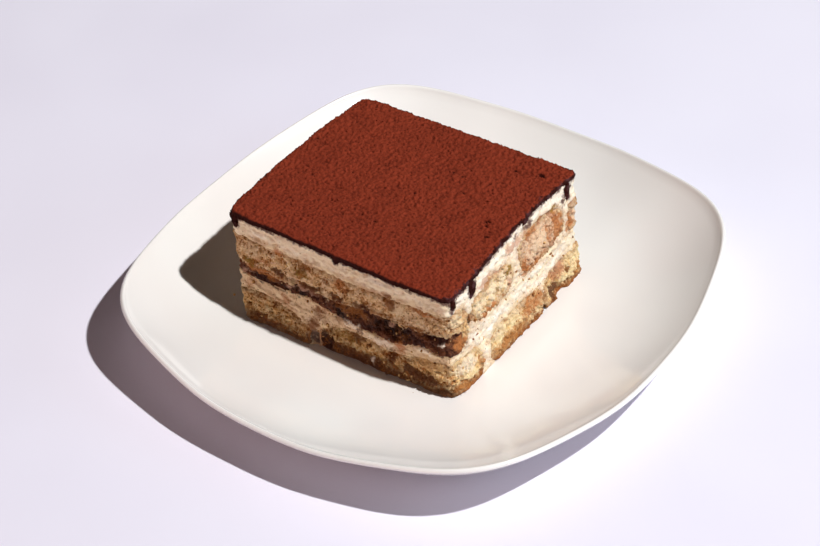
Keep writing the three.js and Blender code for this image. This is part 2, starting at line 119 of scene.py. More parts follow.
class Graph:
    """Adds nodes to a shader tree or to a Geometry Nodes tree."""

    NOISE_GAIN = 3.0  # brings a noise texture to about -1..1

    def __init__(self, tree: bpy.types.NodeTree) -> None:
        """Starts on an empty or existing tree."""
        self.tree = tree

    def node(
        self,
        kind: str,
        settings: Mapping[str, Any] | None = None,
        sockets: Mapping[str, Any] | None = None,
    ) -> bpy.types.Node:
        """Adds any node: its settings first, then the values or links of its sockets.

        Args:
            kind: Blender's type name of the node.
            settings: Properties of the node.
            sockets: Values or fields by the name of an input that these settings leave in use.

        Returns:
            The node.
        """
        made = self.tree.nodes.new(kind)
        for name, value in (settings or {}).items():
            setattr(made, name, value)
        for name, value in (sockets or {}).items():
            socket = next(s for s in made.inputs if s.name == name and s.enabled)
            if isinstance(value, Field):
                self.tree.links.new(value.socket, socket)
            else:
                socket.default_value = value
        return made

    def add(
        self,
        kind: str,
        settings: Mapping[str, Any] | None = None,
        sockets: Mapping[str, Any] | None = None,
        out: str | None = None,
    ) -> Field:
        """Adds a node and gives one of its outputs.

        Args:
            kind: Blender's type name of the node.
            settings: Properties of the node.
            sockets: Values or fields by input name.
            out: Name of the output, or None for the first one in use.

        Returns:
            The output as a field.
        """
        made = self.node(kind, settings, sockets)
        found = next(s for s in made.outputs if s.enabled and out in (None, s.name))
        return Field(self, found)

    def operated(self, kind: str, operation: str, terms: Sequence[Any]) -> bpy.types.Node:
        """Adds a node of one operation and fills its inputs in order.

        Args:
            kind: Type of the node.
            operation: What it does.
            terms: Values or fields for its inputs.

        Returns:
            The node.
        """
        made = self.tree.nodes.new(kind)
        made.operation = operation
        for socket, term in zip(made.inputs, terms):
            if isinstance(term, Field):
                self.tree.links.new(term.socket, socket)
            else:
                socket.default_value = term
        return made

    def maths(self, operation: str, *terms: "Field | float") -> Field:
        """Adds a Math node of one to three terms."""
        return Field(self, self.operated("ShaderNodeMath", operation, terms).outputs[0])

    def vectors(self, operation: str, *terms: "Field | Sequence[float]") -> Field:
        """Adds a Vector Math node of one or two vectors."""
        made = self.operated("ShaderNodeVectorMath", operation, terms)
        return Field(self, next(s for s in made.outputs if s.enabled))

    def scaled(self, vector: Field, by: "Field | float") -> Field:
        """Multiplies a vector by a number."""
        return self.add("ShaderNodeVectorMath", {"operation": "SCALE"}, {"Vector": vector, "Scale": by})

    def split(self, vector: Field) -> tuple[Field, Field, Field]:
        """Gives the x, y and z of a vector."""
        made = self.node("ShaderNodeSeparateXYZ", None, {"Vector": vector})
        return tuple(Field(self, made.outputs[axis]) for axis in "XYZ")

    def ramp(
        self, value: Field, low: "Field | float", high: "Field | float", start: float = 0, end: float = 1
    ) -> Field:
        """Goes smoothly from start to end while value goes from low to high."""
        return self.add(
            "ShaderNodeMapRange",
            {"interpolation_type": "SMOOTHSTEP"},
            {"Value": value, "From Min": low, "From Max": high, "To Min": start, "To Max": end},
        )

    def greater(self, a: Field, b: "Field | float") -> Field:
        """Is one where a is more than b, and else nought."""
        return self.maths("GREATER_THAN", a, b)

    def highest(self, *terms: "Field | float") -> Field:
        """Gives the highest of two or more numbers."""
        top = terms[0]
        for term in terms[1:]:
            top = self.maths("MAXIMUM", top, term)
        return top

    def mix(self, a: Any, b: Any, share: "Field | float") -> Field:
        """Mixes colour b over colour a."""
        return self.add("ShaderNodeMix", {"data_type": "RGBA"}, {"Factor": share, "A": a, "B": b})

    def between(self, a: "Field | float", b: "Field | float", share: "Field | float") -> Field:
        """Mixes number b over number a."""
        return self.add("ShaderNodeMix", {"data_type": "FLOAT"}, {"Factor": share, "A": a, "B": b})

    def noise(
        self,
        point: Field,
        grain: "float | Sequence[float]",
        seed: float = 0,
        detail: float = 2,
        rough: float = 0.5,
    ) -> Field:
        """Smooth noise of about -1..1.

        Args:
            point: Place in millimetres.
            grain: Size of its features, or one size for each axis.
            seed: Moves the noise to another place.
            detail: Number of finer octaves.
            rough: Strength of the finer octaves.

        Returns:
            The noise.
        """
        sizes = grain if isinstance(grain, Sequence) else (grain,) * 3
        stretched = self.vectors("MULTIPLY", point, [1 / s for s in sizes])
        moved = self.vectors("ADD", stretched, [17.3 * seed, -9.1 * seed, 5.7 * seed])
        sockets = {"Vector": moved, "Scale": 1.0, "Detail": detail, "Roughness": rough}
        raw = self.add("ShaderNodeTexNoise", None, sockets)
        return (raw - 0.5) * self.NOISE_GAIN

    def cells(self, point: Field, size: float, seed: float = 0) -> tuple[Field, Field]:
        """Scattered cell points.

        Args:
            point: Place in millimetres.
            size: Mean distance of the cell points.
            seed: Moves the cells to another place.

        Returns:
            Distance to the nearest cell point in millimetres, and a random 0..1 for that cell.
        """
        moved = self.vectors("ADD", self.scaled(point, 1 / size), [3.9 * seed, 12.7 * seed, -8.3 * seed])
        made = self.node("ShaderNodeTexVoronoi", {"feature": "F1"}, {"Vector": moved, "Scale": 1.0})
        colour = Field(self, made.outputs["Color"])
        return Field(self, made.outputs["Distance"]) * size, self.split(colour)[0]

    def pits(
        self, point: Field, size: float, radius: tuple[float, float], share: float, seed: float = 0
    ) -> Field:
        """Round holes of mixed sizes, one where a hole is deepest.

        Args:
            point: Place in millimetres.
            size: Mean distance of the cells.
            radius: Smallest and largest radius of a hole.
            share: Share of the cells that hold a hole.
            seed: Moves the holes to another place.

        Returns:
            The holes' depth, 0..1.
        """
        distance, lot = self.cells(point, size, seed)
        kept = self.ramp(lot, 1 - share, 1 - share + 0.02)
        reach = self.add(
            "ShaderNodeMapRange",
            None,
            {"Value": lot, "From Min": 1 - share, "From Max": 1.0, "To Min": radius[0], "To Max": radius[1]},
        )
        return kept * (1 - self.ramp(distance / reach, 0.25, 1.0))


SLICE_ORIGIN = (-7.75, 0.0, 7.15)


class Place:
    """Coordinates of a point in millimetres, counted from the slice's middle and its underside."""

    def __init__(self, graph: Graph, position: Field) -> None:
        """Takes a position in metres in the row frame."""
        self.point = graph.vectors("SUBTRACT", graph.scaled(position, 1 / MM), SLICE_ORIGIN)
        self.x, self.y, self.z = graph.split(self.point)


# ------------------------------------------------------------------ Geometry Nodes


class ShapeTree:
    """A Geometry Nodes group with named inputs, and the shorthands that its rules use."""

    KINDS = {
        "float": "NodeSocketFloat",
        "int": "NodeSocketInt",
        "object": "NodeSocketObject",
        "collection": "NodeSocketCollection",
        "material": "NodeSocketMaterial",
    }

    def __init__(self, name: str, inputs: Mapping[str, str]) -> None:
        """Makes the group.

        Args:
            name: Name of the group.
            inputs: Kind of each named input, a key of KINDS.
        """
        self.tree = bpy.data.node_groups.new(name, "GeometryNodeTree")
        self.graph = Graph(self.tree)
        sockets = self.tree.interface
        sockets.new_socket(name="Geometry", in_out="INPUT", socket_type="NodeSocketGeometry")
        sockets.new_socket(name="Geometry", in_out="OUTPUT", socket_type="NodeSocketGeometry")
        self.identifiers = {}
        for label, kind in inputs.items():
            made = sockets.new_socket(name=label, in_out="INPUT", socket_type=self.KINDS[kind])
            self.identifiers[label] = made.identifier
        self.source = self.tree.nodes.new("NodeGroupInput")
        self.shape = Field(self.graph, self.source.outputs["Geometry"])

    def given(self, label: str) -> Field:
        """Gives one of the named inputs."""
        return Field(self.graph, self.source.outputs[label])

    def solid_of(self, label: str) -> Field:
        """Gives the shape of an object that is a named input."""
        sockets = {"Object": self.given(label)}
        return self.graph.add("GeometryNodeObjectInfo", {"transform_space": "ORIGINAL"}, sockets, "Geometry")

    def store(self, name: str, value: Field, kind: str = "FLOAT") -> None:
        """Keeps a number or a colour on the mesh for the finish to read."""
        self.shape = self.graph.add(
            "GeometryNodeStoreNamedAttribute",
            {"data_type": kind, "domain": "POINT"},
            {"Geometry": self.shape, "Name": name, "Value": value},
        )

    def named(self, name: str) -> Field:
        """Reads a number that is kept on the mesh."""
        return self.graph.add("GeometryNodeInputNamedAttribute", {"data_type": "FLOAT"}, {"Name": name})

    def position(self) -> Field:
        """Gives each point's place."""
        return self.graph.add("GeometryNodeInputPosition")

    def normal(self) -> Field:
        """Gives each point's outward direction."""
        return self.graph.add("GeometryNodeInputNormal")

    def distance_to(self, target: Field) -> Field:
        """Gives each point's distance from a shape in millimetres."""
        near = self.graph.add(
            "GeometryNodeProximity",
            {"target_element": "FACES"},
            {"Geometry": target, "Sample Position": self.position()},
            "Distance",
        )
        return near / MM

    def blurred(self, value: Field, kind: str, rounds: int, weight: "Field | float" = 1.0) -> Field:
        """Evens a number or a vector out over neighbouring points."""
        return self.graph.add(
            "GeometryNodeBlurAttribute",
            {"data_type": kind},
            {"Value": value, "Iterations": rounds, "Weight": weight},
        )

    def move(self, offset: Field) -> None:
        """Shifts the points by a vector in millimetres."""
        sockets = {"Geometry": self.shape, "Offset": self.graph.scaled(offset, MM)}
        self.shape = self.graph.add("GeometryNodeSetPosition", None, sockets)

    def finish(self) -> None:
        """Ends the tree: real instances, smooth faces and the finish."""
        graph = self.graph
        real = graph.add("GeometryNodeRealizeInstances", None, {"Geometry": self.shape})
        smooth = graph.add("GeometryNodeSetShadeSmooth", None, {"Geometry": real})
        dressed = graph.add(
            "GeometryNodeSetMaterial", None, {"Geometry": smooth, "Material": self.given("Material")}
        )
        graph.node("NodeGroupOutput", None, {"Geometry": dressed})

    def apply(self, owner: bpy.types.Object, values: Mapping[str, Any]) -> None:
        """Adds the tree to an object as a modifier with its named inputs set.

        Args:
            owner: The object.
            values: Value of each input by its label.
        """
        modifier = owner.modifiers.new(self.tree.name, "NODES")
        modifier.node_group = self.tree
        for label, value in values.items():
            modifier[self.identifiers[label]] = value


# ------------------------------------------------------------------ stains on the cut faces


class Side(Enum):
    """The two cut faces whose stains are set one by one."""

    FRONT = "front"
    RIGHT = "right"


class Tint(Enum):
    """What is soaked into the cut faces or smeared over them; some blots in these tints are painted shade in
    recesses or painted glints.
    """

    # PITCH: near-black wet coffee, used for pockets whose recess is also painted shade.
    PITCH = "1b0a06"
    COFFEE = "401d14"
    COCOA = "4b1c12"
    UMBER = "62351a"
    BROWN = "8c5629"
    OLIVE = "94702f"
    AMBER = "b0723a"
    RUST = "bb7642"
    ROSE = "c99c82"
    GOLD = "dcae74"
    SAND = "ecd0a8"
    CREAM = "fbe9d4"


@dataclass(frozen=True)
class Blot:
    """An uneven patch on a cut face.

    Its place is measured along the face from the slice's middle, and up from the underside.
    """

    tint: Tint
    along: float
    height: float
    half_width: float
    half_height: float
    strength: float = 0.85
    rise: float = 0.0
    wet: float = 0.0


FRONT_BLOTS = (
    Blot(Tint.SAND, -38.5, 29.5, 6.0, 4.0, 0.5),
    Blot(Tint.SAND, 29.5, 30.5, 9.0, 3.6, 0.6),
    Blot(Tint.BROWN, -14.5, 32.5, 4.0, 2.6, 0.8, -0.4),
    Blot(Tint.OLIVE, -16, 29, 3.2, 2.4, 0.75),
    Blot(Tint.RUST, -24.5, 34, 4.0, 1.3, 0.7),
    Blot(Tint.BROWN, -4.5, 30, 2.2, 2.0, 0.6, -0.3),
    Blot(Tint.RUST, 2.5, 31, 2.8, 3.8, 0.75),
    Blot(Tint.BROWN, 23.5, 33, 3.2, 4.0, 0.85, -0.3),
    Blot(Tint.RUST, 38.5, 34.5, 7.0, 1.4, 0.7),
    Blot(Tint.OLIVE, -40, 24, 3.4, 2.2, 0.85, -0.3),
    Blot(Tint.RUST, -32.5, 27, 4.5, 1.4, 0.6),
    Blot(Tint.UMBER, -25.5, 24.5, 6.0, 1.9, 0.8, -0.4),
    Blot(Tint.UMBER, -12.5, 24, 8.0, 2.2, 0.9, -0.5),
    Blot(Tint.RUST, -34.5, 21.5, 10.0, 1.6, 0.7),
    Blot(Tint.ROSE, -15.5, 21.5, 7.0, 1.3, 0.6),
    Blot(Tint.BROWN, 6.5, 21, 9.0, 3.4, 0.85),
    Blot(Tint.SAND, -5, 24, 1.6, 3.4, 0.75, 0.2),
    Blot(Tint.UMBER, 0.5, 24.5, 3.2, 1.9, 0.9, -0.5),
    Blot(Tint.UMBER, 10, 25, 3.0, 3.0, 0.9, -0.5),
    Blot(Tint.COFFEE, 13.5, 23.5, 2.4, 2.6, 0.8, -0.4),
    Blot(Tint.COFFEE, -33.5, 18, 14.5, 2.0, 0.85, -0.4),
    # Near-black pockets along the soak line: wet coffee with painted shade in their recesses.
    Blot(Tint.PITCH, -24, 19, 2.2, 1.4, 0.7, -0.5),
    Blot(Tint.PITCH, -16.5, 19, 2.6, 2.0, 0.9, -0.8),
    Blot(Tint.COFFEE, -10, 20, 7.0, 1.3, 0.85, -0.4),
    Blot(Tint.PITCH, 0.5, 17, 2.5, 3.2, 0.95, -1.0, 0.4),
    Blot(Tint.COFFEE, 12, 17, 5.0, 2.6, 0.75, -0.3),
    # The large black pocket: wet coffee with painted shade in its recess.
    Blot(Tint.PITCH, 23.5, 20.8, 9.2, 4.8, 0.9, -1.0, 0.6),
    # Two painted glints of the wet pocket, on raised light bits.
    Blot(Tint.ROSE, 22.5, 20.5, 2.0, 1.5, 0.95, 0.9, 0.8),
    Blot(Tint.SAND, 25.8, 22.0, 1.8, 1.2, 0.9, 0.8, 0.6),
    Blot(Tint.BROWN, 27.5, 18.5, 3.4, 1.5, 0.8, 0.6),
    Blot(Tint.UMBER, 18.0, 22.5, 2.8, 1.6, 0.75, 0.4),
    Blot(Tint.COFFEE, 33, 20.5, 5.0, 2.2, 0.8, -0.3),
    Blot(Tint.BROWN, 35.5, 25, 5.0, 2.4, 0.75),
    Blot(Tint.COFFEE, 42.5, 25, 6.5, 1.5, 0.95, -0.6),
    Blot(Tint.CREAM, 45, 23.5, 1.4, 1.2, 0.8, 0.3),
    Blot(Tint.UMBER, 44, 19.5, 3.0, 2.0, 0.8),
    Blot(Tint.BROWN, -8, 14, 4.4, 2.8, 0.75, -0.4),
    Blot(Tint.RUST, -23.5, 13, 3.0, 3.0, 0.6),
    Blot(Tint.UMBER, -26, 17, 3.2, 1.8, 0.6, -0.3),
    Blot(Tint.RUST, -40, 14, 2.4, 3.2, 0.5),
    Blot(Tint.CREAM, 5.5, 15, 4.0, 1.9, 0.8, 0.5),
    Blot(Tint.CREAM, 18.5, 13, 8.0, 1.5, 0.75, 0.4),
    Blot(Tint.UMBER, 10, 14, 1.8, 2.4, 0.7, -0.3),
    Blot(Tint.RUST, 26.5, 14.5, 2.2, 2.8, 0.8, -0.4),
    Blot(Tint.CREAM, 38, 17, 5.0, 1.5, 0.7, 0.4),
    Blot(Tint.UMBER, 7, 10.5, 6.0, 1.8, 0.65),
    Blot(Tint.OLIVE, 3.5, 8.5, 6.0, 3.0, 0.5),
    Blot(Tint.UMBER, 23.5, 8.5, 2.6, 4.2, 0.8, -0.4),
    Blot(Tint.UMBER, 30.5, 7.5, 4.0, 3.4, 0.8, -0.4),
    Blot(Tint.GOLD, 39.5, 12, 7.5, 2.6, 0.7),
    Blot(Tint.UMBER, 12, 3, 16.0, 3.4, 0.85, -0.2),
    Blot(Tint.UMBER, 37.5, 5, 9.0, 2.8, 0.85, -0.2),
    Blot(Tint.CREAM, 15.5, 3.5, 1.2, 2.2, 0.7, 0.5),
    Blot(Tint.BROWN, -10.5, 8, 3.4, 4.4, 0.9),
    # Dark notch at the foot: painted shadow in the gap between the lower fingers, over dark crust.
    Blot(Tint.COFFEE, -6.5, 3.5, 7.0, 4.2, 0.95, -0.8),
    Blot(Tint.UMBER, -31, 3.5, 10.0, 1.6, 0.85),
    Blot(Tint.ROSE, -41.5, 18.6, 2.8, 1.2, 0.7, 0.3),
    Blot(Tint.BROWN, -29.5, 19.8, 3.6, 1.2, 0.8),
    Blot(Tint.ROSE, -20.5, 20.0, 2.4, 1.2, 0.7, 0.3),
)

RIGHT_BLOTS = (
    Blot(Tint.COFFEE, -42.5, 27.5, 1.9, 6.0, 0.95, -0.6),
    Blot(Tint.COCOA, -29, 28, 1.6, 3.8, 0.95, -1.0),
    Blot(Tint.SAND, -39, 32.5, 4.0, 4.0, 0.7),
    Blot(Tint.RUST, -35.5, 21.5, 3.8, 3.4, 0.9),
    Blot(Tint.GOLD, -32.5, 27.5, 2.0, 5.0, 0.7),
    Blot(Tint.RUST, -18, 24, 5.6, 2.0, 0.85),
    Blot(Tint.OLIVE, -4, 32.5, 2.4, 1.5, 0.95, -0.4),
    Blot(Tint.ROSE, -10, 35.5, 5.0, 1.0, 0.7),
    Blot(Tint.ROSE, -4.5, 26.5, 2.0, 4.0, 0.6),
    Blot(Tint.RUST, 5, 27.5, 2.8, 4.6, 0.8),
    Blot(Tint.RUST, 11.5, 24.5, 8.5, 2.2, 0.65),
    Blot(Tint.RUST, 27, 31, 3.2, 7.5, 0.85),
    Blot(Tint.RUST, 21.5, 31.5, 2.6, 6.0, 0.6, -0.2),
    Blot(Tint.RUST, 11.5, 38, 5.0, 2.2, 0.75),
    Blot(Tint.OLIVE, 27, 38.5, 2.8, 1.4, 0.8),
    Blot(Tint.RUST, 34.5, 27.5, 3.0, 5.6, 0.8),
    Blot(Tint.SAND, -13, 12, 5.4, 4.6, 0.8),
    Blot(Tint.SAND, -1.5, 13, 7.0, 3.2, 0.7),
    Blot(Tint.ROSE, 26, 12, 5.5, 4.2, 0.75),
    Blot(Tint.RUST, 8, 9, 9.0, 5.5, 0.7),
    # Dark pocket at a lower finger's base: soaked crumb with painted shade in its recess.
    Blot(Tint.UMBER, 22, 4.5, 4.4, 4.6, 1.0, -1.0),
    Blot(Tint.BROWN, 31.5, 8, 1.5, 1.8, 0.85, -0.4),
    Blot(Tint.AMBER, 38, 5, 3.4, 3.4, 0.8),
    Blot(Tint.RUST, 24.5, 11, 6.5, 3.0, 0.6),
    Blot(Tint.AMBER, -6.5, 4, 12.0, 3.0, 0.8),
    Blot(Tint.RUST, -25.5, 8, 1.8, 3.0, 0.6),
    Blot(Tint.SAND, -33.5, 10.5, 6.5, 4.0, 0.8),
    Blot(Tint.RUST, -43.5, 7.5, 3.2, 6.0, 0.85),
    Blot(Tint.AMBER, -34.5, 3, 8.0, 2.4, 0.8),
    Blot(Tint.CREAM, -33.0, 10.5, 5.5, 3.4, 0.6),
    Blot(Tint.ROSE, -17.5, 37.0, 7.0, 1.8, 0.7),
    Blot(Tint.ROSE, 1.5, 39.0, 8.0, 1.6, 0.75, 0.5),
    Blot(Tint.COCOA, 11.0, 40.8, 4.5, 1.5, 0.85, 0.4),
    Blot(Tint.COCOA, 4.0, 41.2, 2.2, 1.0, 0.8, 0.3),
    Blot(Tint.COCOA, 33.0, 38.5, 1.5, 3.5, 0.7),
)


@dataclass(frozen=True)
class Stains:
    """Everything that is smeared over the cut faces, whatever piece it lies on, including the painted shade
    of some recesses and a few painted glints.
    """

    blots: Mapping[Side, Sequence[Blot]]
    wander: float = 3.0
    grain: float = 3.4
    softness: float = 0.65

    def tree(self) -> ShapeTree:
        """Builds the group that stores the stains.

        Returns:
            The group. It stores `stain_colour`, `stain` (cover, 0..1), `wet` and `rise` (millimetres).
        """
        tree = ShapeTree("stains", {"Material": "material"})
        graph = tree.graph
        place = Place(graph, tree.position())
        normal = graph.split(tree.blurred(tree.normal(), "FLOAT_VECTOR", 4))
        drift = graph.noise(place.point, self.grain, 31, detail=4, rough=0.68) * self.wander
        height = place.z + graph.noise(place.point, self.grain, 32, detail=4, rough=0.68) * self.wander * 0.8
        onto = {
            Side.FRONT: (place.x + drift, graph.ramp(-normal[1], 0.35, 0.7)),
            Side.RIGHT: (place.y + drift, graph.ramp(normal[0], 0.35, 0.7)),
        }
        colour = graph.add("FunctionNodeInputColor", {"value": srgb(Tint.SAND.value)})
        cover, wet, rise = (graph.add("ShaderNodeValue") for _ in range(3))
        for side, blots in self.blots.items():
            along, facing = onto[side]
            for blot in blots:
                across = (along - blot.along) / blot.half_width
                upward = (height - blot.height) / blot.half_height
                away = graph.maths("SQRT", across * across + upward * upward)
                share = graph.ramp(away, 1 - self.softness, 1.25, blot.strength, 0.0) * facing
                cover = share + cover * (1 - share)
                colour = graph.mix(colour, srgb(blot.tint.value), share / graph.highest(cover, 0.001))
                if blot.rise:
                    rise = rise + share * blot.rise
                if blot.wet:
                    wet = graph.highest(wet, share * blot.wet)
        tree.store("stain_colour", colour, "FLOAT_COLOR")
        tree.store("stain", cover)
        tree.store("wet", wet)
        tree.store("rise", rise)
        tree.finish()
        return tree


# ------------------------------------------------------------------ finishes


def new_material(name: str) -> tuple[bpy.types.Material, Graph, bpy.types.Node]:
    """Starts a material with one Principled shader.

    Args:
        name: Name of the material.

    Returns:
        The material, its graph and the shader.
    """
    material = bpy.data.materials.new(name)
    material.use_nodes = True
    material.node_tree.nodes.clear()
    graph = Graph(material.node_tree)
    shader = graph.node("ShaderNodeBsdfPrincipled")
    graph.node("ShaderNodeOutputMaterial", None, {"Surface": Field(graph, shader.outputs[0])})
    return material, graph, shader


@dataclass
class Coating:
    """A finish in the making: its colour and roughness so far, and where it reads its coordinates."""

    name: str

    def __post_init__(self) -> None:
        """Starts the material."""
        self.material, self.graph, self.shader = new_material(self.name)
        self.place = Place(self.graph, self.graph.add("ShaderNodeTexCoord", None, None, "Object"))

    def attribute(self, name: str) -> Field:
        """Reads a number that the relief stored on the mesh."""
        return self.graph.add("ShaderNodeAttribute", {"attribute_name": name}, None, "Fac")

    def wire(self, name: str, value: Field) -> None:
        """Links a field into one of the shader's sockets."""
        self.graph.tree.links.new(value.socket, self.shader.inputs[name])

    def fixed(self, values: Mapping[str, Any]) -> None:
        """Sets sockets that are the same all over."""
        for name, value in values.items():
            self.shader.inputs[name].default_value = value

    def stained(self, colour: Field, rough: "Field | float") -> tuple[Field, Field]:
        """Lays the stored stains over a colour and a roughness.

        Args:
            colour: Colour so far.
            rough: Roughness so far.

        Returns:
            Both with the stains on them.
        """
        graph = self.graph
        broken = graph.noise(self.place.point, 1.3, 33, detail=4, rough=0.7) * 0.5
        cover = self.attribute("stain")
        share = graph.ramp(cover + broken * graph.ramp(cover, 0.0, 0.35), 0.05, 0.82) * 0.94
        tint = graph.add("ShaderNodeAttribute", {"attribute_name": "stain_colour"}, None, "Color")
        wet = self.attribute("wet")
        return graph.mix(colour, tint, share), graph.between(rough, 0.34, wet)

    def grains(self) -> tuple[Field, Field]:
        """Gives the unevenness of a crumb; its broad part follows the relief's height, which the finishes use
        for painted shade and highlights.

        Returns:
            The broad one and the fine one.
        """
        graph, point = self.graph, self.place.point
        coarse = graph.noise(point, 2.8, 36, detail=4, rough=0.7) + self.attribute("level") * 0.2
        return coarse, graph.noise(point, 0.9, 37, detail=3, rough=0.7)

    def grain_tone_and_highlight(self, colour: Field, light: str, depth: "Field | float") -> Field:
        """Lightens grains of a crumb at random, and as a painted highlight where the relief stands highest.

        Args:
            colour: Colour so far.
            light: Colour of those grains.
            depth: Greatest cover, 0..1.

        Returns:
            The colour with the grains in it.
        """
        coarse, fine = self.grains()
        return self.graph.mix(colour, srgb(light), self.graph.ramp(coarse * 0.7 + fine, 0.0, 0.5) * depth)

    def grain_tone_and_hollow_shade(self, colour: Field, shade: str, dark: str, depth: "Field | float") -> Field:
        """Darkens a crumb at random, and with painted shade where the relief lies low.

        Args:
            colour: Colour so far.
            shade: Colour of the painted shade in the broad hollows.
            dark: Colour of the painted shade in the small, deep ones.
            depth: Greatest cover, 0..1.

        Returns:
            The colour with the hollows in it.
        """
        graph = self.graph
        coarse, fine = self.grains()
        colour = graph.mix(colour, srgb(shade), graph.ramp(coarse + fine * 0.35, 0.0, -0.5) * depth)
        return graph.mix(colour, srgb(dark), graph.ramp(fine + coarse * 0.7, -0.2, -0.65) * depth * 0.85)

    def smeared(self, colour: Field, light: str, dark: str, share: "Field | float") -> Field:
        """Blends a piece into its neighbours along the seams, alike on both of their sides.

        Args:
            colour: Colour so far.
            light: Cream that is drawn over the seam.
            dark: Crumb that is drawn over it in other places.
            share: Greatest cover.

        Returns:
            The colour with the smears on it.
        """
        graph, place = self.graph, self.place
        ragged = graph.noise(place.point, 2.8, 38, detail=4, rough=0.68)
        close = 1 - graph.ramp(self.attribute("rim") + ragged * 2.0, 0.2, 2.6)
        kind = graph.noise(place.point, (5.0, 5.0, 3.2), 39, detail=4, rough=0.66)
        smear = graph.mix(srgb(light), srgb(dark), graph.ramp(kind, -0.35, 0.5))
        clear = graph.ramp(self.attribute("cocoa_gap"), 1.5, 4.0)
        return graph.mix(colour, smear, close * clear * share)

    def dusted(self, colour: Field, dust: str, reach: float, share: float) -> Field:
        """Smears cocoa over a colour close to the cocoa layer, as the knife does.

        Args:
            colour: Colour so far.
            dust: The cocoa's colour.
            reach: How far the smear goes, in millimetres.
            share: Its greatest cover.

        Returns:
            The colour with the smear on it.
        """
        graph = self.graph
        ragged = graph.noise(self.place.point, (2.4, 2.4, 3.0), 35, detail=4, rough=0.65)
        close = 1 - graph.ramp(self.attribute("cocoa_gap") + ragged * 1.3, 0.2, reach)
        return graph.mix(colour, srgb(dust), close * share)

    def bumped(self, height: Field, strength: float) -> None:
        """Gives the finish a fine bump, its height in millimetres."""
        sockets = {"Height": height, "Distance": MM, "Strength": strength}
        self.wire("Normal", self.graph.add("ShaderNodeBump", None, sockets))


@dataclass(frozen=True)
class Porcelain:
    """Glazed white porcelain with a bare, finely sanded foot ring."""

    glaze: str = "f0ede9"
    shade: str = "ebe5e1"
    bare: str = "d8cfc6"
    roughness: float = 0.13
    ripple: float = 0.05

    def material(self) -> bpy.types.Material:
        """Builds the glaze.

        Returns:
            The material.
        """
        coat = Coating("porcelain_glaze")
        graph, point = coat.graph, coat.place.point
        clouds = graph.noise(point, 60, 1)
        colour = graph.mix(srgb(self.glaze), srgb(self.shade), graph.ramp(clouds, -0.7, 0.7))
        foot = 1 - graph.ramp(coat.place.z + SLICE_ORIGIN[2], 0.25, 0.5)
        coat.wire("Base Color", graph.mix(colour, srgb(self.bare), foot))
        gloss = graph.noise(point, 25, 3) * 0.02 + self.roughness
        coat.wire("Roughness", graph.between(gloss, 0.75, foot))
        grit = graph.noise(point, 0.4, 2, detail=4, rough=0.7) * foot * 0.03
        coat.bumped(graph.noise(point, 18, 4, detail=1) * self.ripple + grit, 0.6)
        coat.fixed({"IOR": 1.5, "Coat Weight": 0.35, "Coat Roughness": 0.04})
        return coat.material


@dataclass(frozen=True)
class Sponge:
    """Crumb of a ladyfinger, with its browned skin and what it has soaked up, and painted shade in its pores,
    its hollows and on its front face.
    """

    name: str
    pale: str
    gold: str
    brown: str
    crust: str
    deep: str
    smear_light: str = "f0d3a4"
    smear_dark: str = "a76b3c"
    crust_reach: float = 2.4
    crust_share: float = 0.6
    brown_share: float = 0.6
    foot: float = 0.0
    front_toast_and_shade: float = 0.5

    def material(self) -> bpy.types.Material:
        """Builds the crumb.

        Returns:
            The material.
        """
        coat = Coating(self.name)
        graph, place = coat.graph, coat.place
        # The front cut face lies in shade: its crumb is painted more golden and browner, and its crust, foot
        # band and hollows darker; partly real soaking, partly painted shade.
        front = 1 - graph.ramp(place.y, -40.0, -36.5)
        clouds = graph.noise(place.point, 5.5, 1, detail=3, rough=0.62)
        flecks = graph.noise(place.point, 1.6, 2, detail=4, rough=0.7)
        golden = graph.ramp(clouds + flecks * 0.8 + front * 0.5, -0.4, 0.7)
        colour = graph.mix(srgb(self.pale), srgb(self.gold), golden)
        soaked = graph.noise(place.point, (4.0, 4.0, 2.8), 5, detail=4, rough=0.68)
        toasted = graph.ramp(soaked + flecks * 0.45 + front * self.front_toast_and_shade, 0.2, 1.0) * self.brown_share
        colour = graph.mix(colour, srgb(self.brown), toasted)
        # Lighter grains at random, plus painted highlights where the relief stands highest.
        colour = coat.grain_tone_and_highlight(colour, self.pale, 0.7)
        ragged = graph.noise(place.point, 3.6, 7, detail=4, rough=0.68)
        skin = 1 - graph.ramp(coat.attribute("rim") + ragged * 3.0, 0.0, self.crust_reach)
        crust = graph.mix(srgb(self.crust), srgb(self.deep), front * 0.75)
        colour = graph.mix(colour, crust, skin * self.crust_share)
        colour = coat.smeared(colour, self.smear_light, self.smear_dark, 0.7)
        if self.foot:
            reach = graph.between(self.foot * 0.75, self.foot * 1.4, front)
            under = 1 - graph.ramp(place.z + ragged * 3.2 + flecks * 1.2, 0.4, reach)
            colour = graph.mix(colour, crust, under * 0.92)
        colour, rough = coat.stained(colour, 0.92)
        # Painted shade in the hollows, deeper on the front face.
        colour = coat.grain_tone_and_hollow_shade(colour, self.brown, self.deep, graph.between(0.3, 0.9, front))
        # Painted shade in the open pores.
        colour = graph.mix(colour, srgb(self.deep), graph.ramp(coat.attribute("pit"), 0.2, 1.0) * 0.8)
        colour = coat.dusted(colour, Tint.COCOA.value, 1.0, 0.8)
        coat.wire("Base Color", colour)
        coat.wire("Roughness", rough)
        coat.bumped(graph.noise(place.point, 0.6, 9, detail=4, rough=0.75) * 0.2, 0.9)
        coat.fixed(
            {
                "Subsurface Weight": 0.12,
                "Subsurface Radius": (1.0, 0.5, 0.25),
                "Subsurface Scale": 1.2 * MM,
                "Specular IOR Level": 0.25,
            }
        )
        return coat.material


